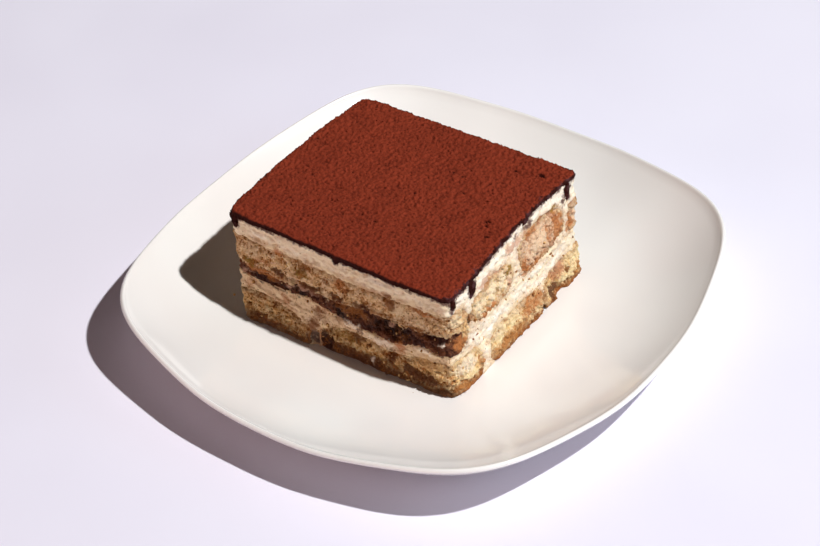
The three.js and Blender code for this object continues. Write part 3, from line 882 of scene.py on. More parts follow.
@dataclass(frozen=True)
class Mascarpone:
    """Whipped cream that the knife has dragged coffee, crumb and cocoa through, with painted shade in its low
    spots, bubbles and hollows and on its front face.
    """

    fresh: str = "faebd8"
    butter: str = "f8e2c0"
    stained: str = "e8c69c"
    coffee: str = "86552c"
    smear_light: str = "f0d3a4"
    smear_dark: str = "a76b3c"
    front_stain_and_shade: float = 0.6
    side_stain: float = 0.35

    def material(self) -> bpy.types.Material:
        """Builds the cream.

        Returns:
            The material.
        """
        coat = Coating("mascarpone")
        graph, place = coat.graph, coat.place
        # The front cut face lies in shade: its cream is painted yellower and more stained there, partly real
        # staining and partly painted shade and warm bounce light.
        front = 1 - graph.ramp(place.y, -40.5, -37.0)
        clouds = graph.noise(place.point, (9, 9, 4), 1, detail=3)
        colour = graph.mix(srgb(self.fresh), srgb(self.butter), graph.ramp(clouds + front * 0.9, -0.3, 0.9))
        drag = graph.noise(place.point, (4.5, 4.5, 1.4), 4, detail=5, rough=0.68)
        below = graph.ramp(place.z, 33.0, 26.0)
        share = graph.between(self.side_stain, self.front_stain_and_shade, front * graph.between(0.4, 1.0, below))
        dirt_and_shade = graph.ramp(drag + clouds * 0.4 + below * front * 0.9, -0.3, 1.0) * share
        colour = graph.mix(colour, srgb(self.stained), dirt_and_shade)
        colour = coat.smeared(colour, self.smear_light, self.smear_dark, graph.between(0.55, 0.8, front))
        specks, lot = graph.cells(place.point, 1.9, 6)
        speck = (1 - graph.ramp(specks, 0.12, 0.5)) * graph.greater(lot, 0.78)
        colour = graph.mix(colour, srgb(self.coffee), speck * 0.6)
        # Painted shade in the low spots of the relief.
        low = graph.ramp(coat.attribute("level"), 0.1, -0.7)
        colour = graph.mix(colour, srgb(self.stained), low * 0.75)
        # Painted shade in the burst bubbles.
        colour = graph.mix(colour, srgb(self.coffee), coat.attribute("pit") * 0.6)
        colour, rough = coat.stained(colour, 0.5)
        # Painted shade in the hollows, deepest low on the front face.
        hollow_shade_share = front * graph.between(0.25, 0.85, below) + (1 - front) * 0.2
        colour = coat.grain_tone_and_hollow_shade(colour, self.stained, self.coffee, hollow_shade_share)
        colour = coat.dusted(colour, Tint.COCOA.value, 1.3, 0.92)
        coat.wire("Base Color", colour)
        coat.wire("Roughness", rough)
        coat.bumped(graph.noise(place.point, (1.0, 1.0, 0.6), 9, detail=4, rough=0.7) * 0.18, 0.8)
        coat.fixed(
            {
                "Subsurface Weight": 0.2,
                "Subsurface Radius": (1.0, 0.7, 0.45),
                "Subsurface Scale": 1.5 * MM,
                "Specular IOR Level": 0.4,
            }
        )
        return coat.material


@dataclass(frozen=True)
class CoffeeSoak:
    """Sponge drowned in coffee: dark, wet and shining in its hollows, which get painted shade as well."""

    dark: str = "2a0f08"
    middle: str = "6f4029"
    light: str = "c0906a"

    def material(self) -> bpy.types.Material:
        """Builds the soaked crumb.

        Returns:
            The material.
        """
        coat = Coating("coffee_soak")
        graph, place = coat.graph, coat.place
        clouds = graph.noise(place.point, (5, 5, 2.4), 1, detail=4, rough=0.62)
        flecks = graph.noise(place.point, 1.4, 2, detail=4, rough=0.7)
        colour = graph.mix(srgb(self.dark), srgb(self.middle), graph.ramp(clouds + flecks * 0.6, -0.9, 0.1))
        colour = graph.mix(colour, srgb(self.light), graph.ramp(clouds * 0.7 + flecks * 0.8, 0.1, 1.1) * 0.85)
        colour, rough = coat.stained(colour, graph.ramp(clouds, -0.4, 0.5, 0.5, 0.9))
        # Painted shade in the hollows.
        colour = coat.grain_tone_and_hollow_shade(colour, self.dark, self.dark, 0.8)
        coat.wire("Base Color", colour)
        coat.wire("Roughness", rough)
        coat.bumped(graph.noise(place.point, 0.6, 9, detail=4, rough=0.7) * 0.2, 0.9)
        coat.fixed({"Specular IOR Level": 0.16})
        return coat.material


@dataclass(frozen=True)
class CocoaPowder:
    """Sifted cocoa: a dry red-brown bloom on top, nearly black on its steep sides where it meets the cream
    (wet cocoa with painted shade), and painted shade in its low spots and holes.
    """

    dry: str = "833421"
    warm: str = "8f3a25"
    deep: str = "541c12"
    damp_and_shade: str = "34130e"
    pit_shade: str = "2c0d09"
    fleck: str = "5e2018"
    moist: str = "543436"

    def material(self) -> bpy.types.Material:
        """Builds the powder.

        Returns:
            The material.
        """
        coat = Coating("cocoa_powder")
        graph, place = coat.graph, coat.place
        clouds = graph.noise(place.point, 12, 1, detail=3)
        grain = graph.noise(place.point, 1.2, 2, detail=4, rough=0.68)
        colour = graph.mix(srgb(self.dry), srgb(self.warm), graph.ramp(clouds * 0.6 + grain * 0.7, -0.7, 0.9))
        flecks = graph.noise(place.point, 0.9, 3, detail=3, rough=0.7)
        colour = graph.mix(colour, srgb(self.fleck), graph.ramp(flecks, -0.05, -0.5) * 0.6)
        # Painted shade in the low spots of the relief.
        low = graph.ramp(coat.attribute("level"), 0.1, -0.8)
        colour = graph.mix(colour, srgb(self.deep), low * 0.75)
        # Painted shade in the pits and open holes.
        colour = graph.mix(colour, srgb(self.pit_shade), graph.ramp(coat.attribute("pit"), 0.2, 0.9) * 0.85)
        ragged = graph.noise(place.point, 2.0, 5, detail=4, rough=0.65)
        # Along the rim the steep sides turn nearly black: wet cocoa, with painted shade.
        right = graph.ramp(place.x, 41.0, 45.0)
        rim = graph.ramp(coat.attribute("side") + ragged * graph.between(0.2, 0.65, right), 0.05, 0.5)
        lumps = graph.ramp(graph.noise(place.point, 3.2, 6, detail=3), -0.1, 0.35) * right
        damp_and_shade = graph.mix(srgb(self.damp_and_shade), srgb(self.moist), lumps * 0.75)
        coat.wire("Base Color", graph.mix(colour, damp_and_shade, rim))
        coat.wire("Roughness", graph.between(0.98, 0.7, rim))
        coat.bumped(graph.noise(place.point, 0.7, 9, detail=4, rough=0.8) * 0.18, 0.9)
        coat.fixed({"Specular IOR Level": 0.06})
        return coat.material


@dataclass(frozen=True)
class LooseCrumb:
    """Dry crumbs that the knife has torn off."""

    pale: str = "e3b97f"
    brown: str = "9a6234"
    dark: str = "54301a"

    def material(self) -> bpy.types.Material:
        """Builds the crumbs' finish, which changes from one crumb to the next.

        Returns:
            The material.
        """
        coat = Coating("loose_crumb")
        graph, point = coat.graph, coat.place.point
        lot = graph.noise(point, 1.8, 1, detail=1)
        grain = graph.noise(point, 0.6, 2, detail=3, rough=0.7)
        colour = graph.mix(srgb(self.pale), srgb(self.brown), graph.ramp(lot, -0.35, 0.3))
        colour = graph.mix(colour, srgb(self.dark), graph.ramp(grain + lot * 0.5, 0.1, 0.9))
        coat.wire("Base Color", colour)
        coat.wire("Roughness", graph.ramp(grain, -0.6, 0.6, 0.8, 0.95))
        coat.bumped(graph.noise(point, 0.35, 3, detail=3, rough=0.7) * 0.12, 0.8)
        coat.fixed({"Specular IOR Level": 0.2})
        return coat.material


@dataclass(frozen=True)
class TableTop:
    """The plain pale top that the plate stands on."""

    colour: str = "ece8f4"
    shade: str = "e4dfec"

    def material(self) -> bpy.types.Material:
        """Builds the table's matt paint.

        Returns:
            The material.
        """
        coat = Coating("table_paint")
        clouds = coat.graph.noise(coat.place.point, 120, 1)
        share = coat.graph.ramp(clouds, -1.0, 1.0)
        coat.wire("Base Color", coat.graph.mix(srgb(self.colour), srgb(self.shade), share))
        coat.fixed({"Roughness": 0.85})
        return coat.material


# ------------------------------------------------------------------ plain meshes


def frozen_mesh(owner: bpy.types.Object, name: str) -> bpy.types.Mesh:
    """Evaluates an object's modifiers.

    Args:
        owner: Object with modifiers.
        name: Name of the new mesh.

    Returns:
        The result as a plain mesh.
    """
    graph = bpy.context.evaluated_depsgraph_get()
    mesh = bpy.data.meshes.new_from_object(
        owner.evaluated_get(graph), preserve_all_data_layers=True, depsgraph=graph
    )
    mesh.name = name
    return mesh


def new_object(name: str, mesh: bpy.types.Mesh) -> bpy.types.Object:
    """Puts a mesh in the scene.

    Args:
        name: Name of the object.
        mesh: Its mesh.

    Returns:
        The object.
    """
    made = bpy.data.objects.new(name, mesh)
    bpy.context.scene.collection.objects.link(made)
    return made


def merged_copy(node: bpy.types.Object, name: str) -> bpy.types.Mesh:
    """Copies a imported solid's mesh and joins its loose triangles.

    Args:
        node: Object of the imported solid.
        name: Name of the copy.

    Returns:
        A closed mesh.
    """
    shell = bmesh.new()
    shell.from_mesh(node.data)
    bmesh.ops.remove_doubles(shell, verts=shell.verts, dist=1e-6)
    mesh = bpy.data.meshes.new(name)
    shell.to_mesh(mesh)
    shell.free()
    return mesh


def number_attribute(mesh: bpy.types.Mesh, name: str) -> np.ndarray:
    """Reads a number that is kept on each point of a mesh.

    Args:
        mesh: The mesh.
        name: Name of the attribute.

    Returns:
        One number for each point.
    """
    values = np.zeros(len(mesh.vertices), np.float32)
    mesh.attributes[name].data.foreach_get("value", values)
    return values


# ------------------------------------------------------------------ relief of the food


@dataclass(frozen=True)
class Hole:
    """An open hole in the cocoa."""

    x: float
    y: float
    half_length: float
    half_width: float


COCOA_HOLES = (
    Hole(37.0, 33.5, 2.0, 1.3),
    Hole(35.5, 1.5, 1.6, 0.9),
    Hole(40.0, -5.4, 1.7, 0.8),
    Hole(36.2, -0.6, 0.9, 0.7),
    Hole(27.6, 31.0, 0.9, 0.7),
    Hole(24.0, 19.4, 0.8, 0.7),
    Hole(19.0, 10.2, 0.9, 0.8),
    Hole(13.0, 18.4, 0.9, 0.6),
    Hole(8.6, 19.0, 0.8, 0.5),
    Hole(3.8, 1.6, 0.8, 0.5),
)

Rule = Callable[[ShapeTree, Place], tuple[Field, Field]]

HIDDEN_BELOW = 0.02  # shares of `exposed`
OPEN_ABOVE = 0.95


def sponge_rule(tree: ShapeTree, place: Place) -> tuple[Field, Field]:
    """Torn crumb: lumps, open pores and a fine tooth.

    Args:
        tree: The relief's tree.
        place: Coordinates in the slice.

    Returns:
        Height in millimetres, and the pores' depth for the finish.
    """
    graph = tree.graph
    lumps = graph.noise(place.point, 3.6, 11, detail=2) * 0.9
    tooth = graph.noise(place.point, 1.7, 12, detail=3, rough=0.72) * 1.4
    caves = graph.ramp(graph.noise(place.point, 2.8, 13, detail=3, rough=0.66), 0.3, 0.75)
    pores = graph.ramp(graph.noise(place.point, 1.3, 14, detail=2), 0.25, 0.6)
    return lumps + tooth - caves * 1.2 - pores * 0.5 + 0.1, graph.highest(caves, pores * 0.7)


def cream_rule(tree: ShapeTree, place: Place) -> tuple[Field, Field]:
    """Cream that a knife has drawn level: long smears, soft lobes, tears and a few burst bubbles.

    Args:
        tree: The relief's tree.
        place: Coordinates in the slice.

    Returns:
        Height in millimetres, and the pores' depth for the finish.
    """
    graph = tree.graph
    smears = graph.noise(place.point, (6, 6, 1.6), 21, detail=2) * 0.5
    lobes = graph.noise(place.point, (4.2, 4.2, 3.0), 22, detail=2) * 0.7
    torn = graph.noise(place.point, 1.8, 24, detail=3, rough=0.7) * 0.65
    bubbles = graph.pits(place.point, 3.4, (0.3, 0.8), 0.3, 23)
    return smears + lobes + torn - bubbles * 0.6 + 0.1, bubbles


def soak_rule(tree: ShapeTree, place: Place) -> tuple[Field, Field]:
    """Collapsed wet crumb with deep holes.

    Args:
        tree: The relief's tree.
        place: Coordinates in the slice.

    Returns:
        Height in millimetres, and the pores' depth for the finish.
    """
    graph = tree.graph
    lumps = graph.noise(place.point, (2.8, 2.8, 2.0), 41, detail=4, rough=0.7) * 1.8
    holes = graph.pits(place.point, 2.6, (0.5, 1.3), 0.5, 42)
    return lumps - holes * 0.9 - 0.1, holes


def cocoa_rule(tree: ShapeTree, place: Place) -> tuple[Field, Field]:
    """Powder that has settled into wrinkles, with clumps and a few open holes.

    Args:
        tree: The relief's tree.
        place: Coordinates in the slice.

    Returns:
        Height in millimetres, and the pores' depth for the finish.
    """
    graph = tree.graph
    side = tree.blurred(1 - graph.split(tree.normal())[2], "FLOAT", 9)
    calm = graph.between(1.0, 0.55, graph.ramp(side, 0.02, 0.3))
    swell = graph.noise(place.point, 9, 51, detail=2) * 0.3
    wrinkles = graph.noise(place.point, 1.15, 52, detail=3, rough=0.7) * 1.15 * calm
    near, lot = graph.cells(place.point, 1.5, 53)
    beads = graph.ramp(near, 0.15, 0.95, 0.45, 0.0) * lot * calm
    cracks = graph.ramp(graph.noise(place.point, 1.3, 56, detail=3, rough=0.7), 0.25, 0.6)
    holes = graph.highest(graph.pits(place.point, 3.0, (0.35, 0.75), 0.16, 54), cracks * 0.5)
    for hole in COCOA_HOLES:
        across = (place.x - hole.x) / hole.half_length
        along = (place.y - hole.y) / hole.half_width
        away = graph.maths("SQRT", across * across + along * along)
        ragged = graph.noise(place.point, 1.0, 55) * 0.4
        holes = graph.highest(holes, 1 - graph.ramp(away + ragged, 0.3, 1.1))
    tree.store("side", side)
    return swell + wrinkles + beads - holes, holes


@dataclass(frozen=True)
class Relief:
    """How a copy of a solid becomes a food surface."""

    rule: Rule
    name: str
    smoothing: int = 26
    seam_grain: float = 1.9

    def tree(self) -> ShapeTree:
        """Builds the Geometry Nodes group of this relief.

        Returns:
            The group, with inputs Cocoa, Height, Flare, Ragged and Material.
        """
        inputs = {"Cocoa": "object", "Material": "material"}
        inputs |= {label: "float" for label in ("Height", "Flare", "Ragged")}
        tree = ShapeTree(self.name, inputs)
        graph = tree.graph
        exposed = tree.named("exposed")
        hidden = graph.add(
            "GeometryNodeSeparateGeometry",
            {"domain": "FACE"},
            {"Geometry": tree.shape, "Selection": graph.maths("LESS_THAN", exposed, 0.5)},
            "Selection",
        )
        tree.store("rim", tree.distance_to(hidden))
        tree.store("cocoa_gap", tree.distance_to(tree.solid_of("Cocoa")))
        keep = graph.ramp(tree.named("rim"), 0.5, 2.2) * exposed
        even = tree.blurred(tree.position(), "FLOAT_VECTOR", self.smoothing, keep)
        tree.shape = graph.add("GeometryNodeSetPosition", None, {"Geometry": tree.shape, "Position": even})
        place = Place(graph, tree.position())
        height, pit = self.rule(tree, place)
        # The finishes paint shade in the pits and in the low spots of `level`.
        tree.store("pit", pit)
        tree.store("level", height)
        ragged = graph.noise(place.point, self.seam_grain, 61, detail=3, rough=0.6) * tree.given("Ragged")
        outward = graph.highest((1 - exposed) * (tree.given("Flare") + ragged), 0.0)
        spread = tree.blurred(graph.scaled(tree.normal(), outward), "FLOAT_VECTOR", 2)
        risen = (height * tree.given("Height") + tree.named("rise")) * graph.ramp(exposed, 0.2, 0.9)
        tree.move(graph.vectors("ADD", spread, graph.scaled(tree.normal(), risen)))
        tree.finish()
        return tree


def skin_tree() -> ShapeTree:
    """Builds the group that finds which parts of a piece lie open.

    Returns:
        The group, with the inputs Neighbours, Reach and Material. It stores `exposed`, 0..1.
    """
    tree = ShapeTree("find_open_faces", {"Neighbours": "object", "Reach": "float", "Material": "material"})
    graph = tree.graph
    start = graph.vectors("ADD", tree.position(), graph.scaled(tree.normal(), 0.12 * MM))
    blocked = graph.add(
        "GeometryNodeRaycast",
        None,
        {
            "Target Geometry": tree.solid_of("Neighbours"),
            "Source Position": start,
            "Ray Direction": tree.normal(),
            "Ray Length": tree.given("Reach") * MM,
        },
        "Is Hit",
    )
    tree.store("exposed", tree.blurred(1 - blocked, "FLOAT", 2))
    tree.finish()
    return tree


@dataclass(frozen=True)
class Shaping:
    """The groups and the helper objects that every piece of food is shaped with."""

    nodes: Mapping[str, bpy.types.Object]
    around: bpy.types.Object
    skin: ShapeTree
    stains: ShapeTree


@dataclass
class FoodPiece:
    """One layer or ladyfinger of the slice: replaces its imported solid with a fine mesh."""

    node: str
    slot: str
    relief: ShapeTree
    finish: bpy.types.Material
    voxel: float = 0.42
    sight: float = 3.0
    hidden_share: float = 0.12
    height: float = 1.0
    flare: float = 0.7
    ragged: float = 0.85

    def build(self, shaping: Shaping) -> bpy.types.Object:
        """Makes the piece.

        Args:
            shaping: What all pieces are shaped with.

        Returns:
            The finished object, riding on the body.
        """
        draft = new_object(f"{self.node}_draft", merged_copy(shaping.nodes[self.node], f"{self.node}_draft"))
        remesh = draft.modifiers.new("remesh", "REMESH")
        remesh.mode = "VOXEL"
        remesh.voxel_size = self.voxel * MM
        remesh.adaptivity = 0
        looking = {"Neighbours": shaping.around, "Reach": self.sight, "Material": self.finish}
        shaping.skin.apply(draft, looking)
        fine = frozen_mesh(draft, f"{self.node}_fine")
        bpy.data.objects.remove(draft)
        exposed = number_attribute(fine, "exposed")
        body = new_object(f"{self.node}_body", fine)
        hidden = body.vertex_groups.new(name="hidden")
        hidden.add(np.flatnonzero(exposed < HIDDEN_BELOW).tolist(), 1.0, "REPLACE")
        thin = body.modifiers.new("thin", "DECIMATE")
        thin.vertex_group = "hidden"
        thin.vertex_group_factor = 1.0
        share = float((exposed >= HIDDEN_BELOW).mean())
        thin.ratio = share + (1 - share) * self.hidden_share
        shaping.stains.apply(body, {"Material": self.finish})
        values = {
            "Cocoa": shaping.nodes["cocoa_top"],
            "Height": self.height,
            "Flare": self.flare,
            "Ragged": self.ragged,
            "Material": self.finish,
        }
        self.relief.apply(body, values)
        mesh = frozen_mesh(body, self.node + "_look")
        bpy.data.objects.remove(body)
        piece = new_object(self.node + "_look", mesh)
        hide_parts(self.node)
        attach(piece, BODY)
        LOG.info("%s: %d faces, %.0f%% open", piece.name, len(mesh.polygons), 100 * share)
        return piece


# ------------------------------------------------------------------ crumbs

HALF_SLICE = (47.6, 41.4)
STRAY_CRUMBS = ((42.6, 52.8, 1.2),)
SQUARE_CM_IN_SQUARE_M = 1e4


def crumb_rule(tree: ShapeTree, place: Place) -> Field:
    """Lets crumbs cling to the cut faces, lie round the foot and in chosen places on the plate.

    Args:
        tree: The tree that strews the bits.
        place: Coordinates in the slice.

    Returns:
        How densely they lie, 0..1.
    """
    graph = tree.graph
    patches = graph.ramp(graph.noise(place.point, 7.0, 71, detail=2), -0.2, 0.7)
    open_face = graph.greater(tree.named("exposed"), OPEN_ABOVE)
    clinging = open_face * graph.ramp(place.z, 37.0, 26.0) * (patches * 0.8 + 0.2)
    outside = [graph.highest(abs(axis) - half, 0.0) for axis, half in zip((place.x, place.y), HALF_SLICE)]
    away = graph.maths("SQRT", outside[0] * outside[0] + outside[1] * outside[1])
    low = graph.ramp(place.z, 1.3, 0.7)
    lying = graph.greater(away, 0.3) * (1 - graph.ramp(away, 0.5, 5.0)) * (patches * 0.9 + 0.1) * 0.5
    for x, y, radius in STRAY_CRUMBS:
        across, along = place.x - x, place.y - y
        near = graph.maths("SQRT", across * across + along * along)
        lying = graph.highest(lying, graph.maths("LESS_THAN", near, radius))
    level = graph.greater(graph.split(tree.normal())[2], 0.3)
    return graph.highest(clinging * (1 - low), lying * low * level * (1 - open_face))


def grain_rule(tree: ShapeTree, place: Place) -> Field:
    """Lets cocoa settle in grains on its own layer, more of them along the rim.

    Args:
        tree: The tree that strews the bits.
        place: Coordinates in the slice.

    Returns:
        How densely they lie, 0..1.
    """
    graph = tree.graph
    patches = graph.ramp(graph.noise(place.point, 6.0, 72, detail=2), -0.5, 0.6)
    rim = graph.ramp(tree.named("side"), 0.05, 0.25)
    return graph.greater(tree.named("exposed"), OPEN_ABOVE) * graph.highest(patches * 0.5, rim)


@dataclass(frozen=True)
class Scatter:
    """Bits of one kind, strewn over finished pieces where a rule lets them lie."""

    name: str
    slot: str
    rule: Callable[[ShapeTree, Place], Field]
    finish: bpy.types.Material
    spacing: float
    per_square_cm: float
    size: tuple[float, float]
    seed: int
    sink: float = 0.15
    lumps: float = 0.22

    def tree(self) -> ShapeTree:
        """Builds the Geometry Nodes group of this kind.

        Returns:
            The group, with the inputs Bed, Spacing, Density, Smallest, Largest, Seed and Material.
        """
        labels = {"Bed": "collection", "Seed": "int", "Material": "material"}
        labels |= {label: "float" for label in ("Spacing", "Density", "Smallest", "Largest")}
        tree = ShapeTree(self.name, labels)
        graph = tree.graph
        bed = graph.add("GeometryNodeCollectionInfo", None, {"Collection": tree.given("Bed")})
        surface = graph.add("GeometryNodeRealizeInstances", None, {"Geometry": bed})
        strewn = graph.node(
            "GeometryNodeDistributePointsOnFaces",
            {"distribute_method": "POISSON"},
            {
                "Mesh": surface,
                "Distance Min": tree.given("Spacing") * MM,
                "Density Max": tree.given("Density") * SQUARE_CM_IN_SQUARE_M,
                "Density Factor": self.rule(tree, Place(graph, tree.position())),
                "Seed": tree.given("Seed"),
            },
        )
        corners = {f"Vertices {axis}": 3 for axis in "XYZ"}
        cube = graph.add("GeometryNodeMeshCube", None, {"Size": (1, 1, 1)} | corners)
        round_place = graph.scaled(graph.vectors("NORMALIZE", tree.position()), 0.5)
        crumb = graph.add("GeometryNodeSetPosition", None, {"Geometry": cube, "Position": round_place})
        turn = graph.add(
            "FunctionNodeRandomValue",
            {"data_type": "FLOAT_VECTOR"},
            {"Min": (0, 0, 0), "Max": (math.tau,) * 3, "Seed": self.seed + 1},
        )
        lot = graph.add("FunctionNodeRandomValue", {"data_type": "FLOAT"}, {"Seed": self.seed + 2})
        size = graph.between(tree.given("Smallest"), tree.given("Largest"), lot * lot * lot)
        long = graph.add(
            "FunctionNodeRandomValue",
            {"data_type": "FLOAT_VECTOR"},
            {"Min": (0.7, 0.7, 0.6), "Max": (1.3, 1.2, 1.0), "Seed": self.seed + 3},
        )
        placed = graph.add(
            "GeometryNodeInstanceOnPoints",
            None,
            {
                "Points": Field(graph, strewn.outputs["Points"]),
                "Instance": crumb,
                "Rotation": turn,
                "Scale": graph.scaled(long, size * MM),
            },
        )
        tree.shape = graph.add("GeometryNodeRealizeInstances", None, {"Geometry": placed})
        knobs = graph.noise(Place(graph, tree.position()).point, 0.7, self.seed, detail=2) * self.lumps
        tree.move(graph.scaled(tree.normal(), knobs - self.sink * 0.5))
        tree.finish()
        return tree

    def build(self, pieces: Sequence[bpy.types.Object]) -> bpy.types.Object:
        """Strews the bits.

        Args:
            pieces: Finished pieces that they lie on.

        Returns:
            The finished object, riding on the body.
        """
        bed = bpy.data.collections.new(f"{self.name}_bed")
        for piece in pieces:
            bed.objects.link(piece)
        draft = new_object(f"{self.name}_draft", bpy.data.meshes.new(f"{self.name}_draft"))
        values = {
            "Bed": bed,
            "Spacing": self.spacing,
            "Density": self.per_square_cm,
            "Smallest": self.size[0],
            "Largest": self.size[1],
            "Seed": self.seed,
            "Material": self.finish,
        }
        self.tree().apply(draft, values)
        mesh = frozen_mesh(draft, self.name)
        bpy.data.objects.remove(draft)
        bpy.data.collections.remove(bed)
        piece = new_object(self.name, mesh)
        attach(piece, BODY)
        LOG.info("%s: %d faces", piece.name, len(mesh.polygons))
        return piece


# ------------------------------------------------------------------ plate


@dataclass
class Plate:
    """Rounded-square coupe plate, turned from the same measures as its solid."""

    radius: float = 104.6
    squareness: tuple[float, float, float] = (-0.05, 0.01, -0.004)
    rim_height: float = 22.2
    rim_lift: tuple[float, float] = (-2.7, 0.3)
    well_height: float = 6.8
    well_reach: float = 0.5
    coupe_curve: float = 2.7
    lip: float = 2.7
    wall: float = 3.6
    foot_outer: float = 0.6
    foot_inner: float = 0.545
    foot_recess: float = 1.6
    foot_height: float = 0.4
    turns: int = 288
    upper_rings: int = 44
    under_rings: int = 26
    lip_rings: int = 14
    lip_start: float = 0.978
    under_start: float = 0.965

    def rise(self, share: float) -> float:
        """Gives the coupe's rise, 0..1, at a share of the radius."""
        out = max(0.0, (share - self.well_reach) / (1 - self.well_reach))
        return out**self.coupe_curve

    def profile(self) -> list[tuple[float, float, float]]:
        """Draws half the plate's section from the middle of its top round to its underside.

        Returns:
            For each ring its share of the radius, its share of the rise and its fixed height.
        """
        edge = self.lip_start
        top = [
            (edge * k / self.upper_rings, self.rise(edge * k / self.upper_rings), self.well_height)
            for k in range(1, self.upper_rings + 1)
        ]
        middle, reach = self.well_height - self.lip / 2, 1 - edge
        start_rise = self.rise(edge)
        nose = []
        for k in range(1, self.lip_rings):
            turn = math.pi * k / self.lip_rings
            share = edge + reach * math.sin(turn)
            rise = start_rise + (1 - start_rise) * min(1.0, 2 * math.sin(turn))
            nose.append((share, rise, middle + self.lip / 2 * math.cos(turn)))
        low = []
        for k in range(self.under_rings + 1):
            share = self.under_start + (self.foot_outer + 0.012 - self.under_start) * k / self.under_rings
            drop = self.lip + (1 - share) * (self.wall - self.lip)
            low.append((share, self.rise(share), self.well_height - drop))
        foot = [
            (self.foot_outer + 0.004, 0.0, self.foot_height + 1.4),
            (self.foot_outer + 0.001, 0.0, self.foot_height),
            (self.foot_outer - 0.003, 0.0, 0.12),
            (self.foot_outer - 0.007, 0.0, 0.0),
            (self.foot_inner + 0.004, 0.0, 0.0),
            (self.foot_inner, 0.0, 0.15),
            (self.foot_inner - 0.008, 0.0, self.foot_recess - 0.3),
            (self.foot_inner - 0.016, 0.0, self.foot_recess),
            (self.foot_inner * 0.5, 0.0, self.foot_recess),
        ]
        return top + nose + low + foot

    def outline(self, angle: float) -> tuple[float, float]:
        """Gives the outline in one direction.

        Args:
            angle: The direction.

        Returns:
            The radius and the lip's height.
        """
        four, eight, twelve = self.squareness
        radius = self.radius * (
            1 + four * math.cos(4 * angle) + eight * math.cos(8 * angle) + twelve * math.cos(12 * angle)
        )
        lift = self.rim_lift[0] * math.cos(4 * angle) + self.rim_lift[1] * math.cos(8 * angle)
        return radius, self.rim_height + lift

    def build(self, finish: bpy.types.Material) -> bpy.types.Object:
        """Makes the plate.

        Args:
            finish: Its glaze.

        Returns:
            The finished object, riding on the body.
        """
        rings = self.profile()
        shell = bmesh.new()
        grid = []
        for share, rise, height in rings:
            ring = []
            for k in range(self.turns):
                angle = 2 * math.pi * k / self.turns
                radius, lip = self.outline(angle)
                z = height + rise * (lip - self.well_height)
                r = share * radius
                ring.append(shell.verts.new((r * math.cos(angle) * MM, r * math.sin(angle) * MM, z * MM)))
            grid.append(ring)
        for inner, outer in zip(grid, grid[1:]):
            for k in range(self.turns):
                after = (k + 1) % self.turns
                shell.faces.new((inner[k], outer[k], outer[after], inner[after]))
        for ring, height in ((grid[0], self.well_height), (grid[-1], self.foot_recess)):
            pole = shell.verts.new((0, 0, height * MM))
            for k in range(self.turns):
                shell.faces.new((ring[k], ring[(k + 1) % self.turns], pole))
        bmesh.ops.recalc_face_normals(shell, faces=shell.faces)
        for face in shell.faces:
            face.smooth = True
        mesh = bpy.data.meshes.new("plate_look")
        shell.to_mesh(mesh)
        shell.free()
        mesh.materials.append(finish)
        piece = new_object("plate_look", mesh)
        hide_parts("plate")
        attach(piece, BODY)
        LOG.info("%s: %d faces", piece.name, len(mesh.polygons))
        return piece


# ------------------------------------------------------------------ stage


@dataclass(frozen=True)
class Lamp:
    """A round area lamp that looks at the plate."""

    name: str
    place: tuple[float, float, float]
    size: float
    power: float
    colour: tuple[float, float, float] = (1.0, 1.0, 1.0)
    even: bool = False

    def hang(self) -> None:
        """Puts the lamp in the scene. An even one lights far and near alike, as a distant one would."""
        light = bpy.data.lights.new(self.name, "AREA")
        light.shape = "DISK"
        light.size = self.size * MM
        light.energy = self.power
        light.color = self.colour
        spot = Vector(self.place) * MM
        if self.even:
            light.use_nodes = True
            graph = Graph(light.node_tree)
            light.node_tree.nodes.clear()
            strength = graph.add(
                "ShaderNodeLightFalloff", None, {"Strength": 1 / spot.length_squared}, "Constant"
            )
            glow = graph.add("ShaderNodeEmission", None, {"Strength": strength})
            graph.node("ShaderNodeOutputLight", None, {"Surface": glow})
        lamp = bpy.data.objects.new(self.name, light)
        bpy.context.scene.collection.objects.link(lamp)
        lamp.location = spot
        lamp.rotation_euler = (-spot).to_track_quat("-Z", "Y").to_euler()


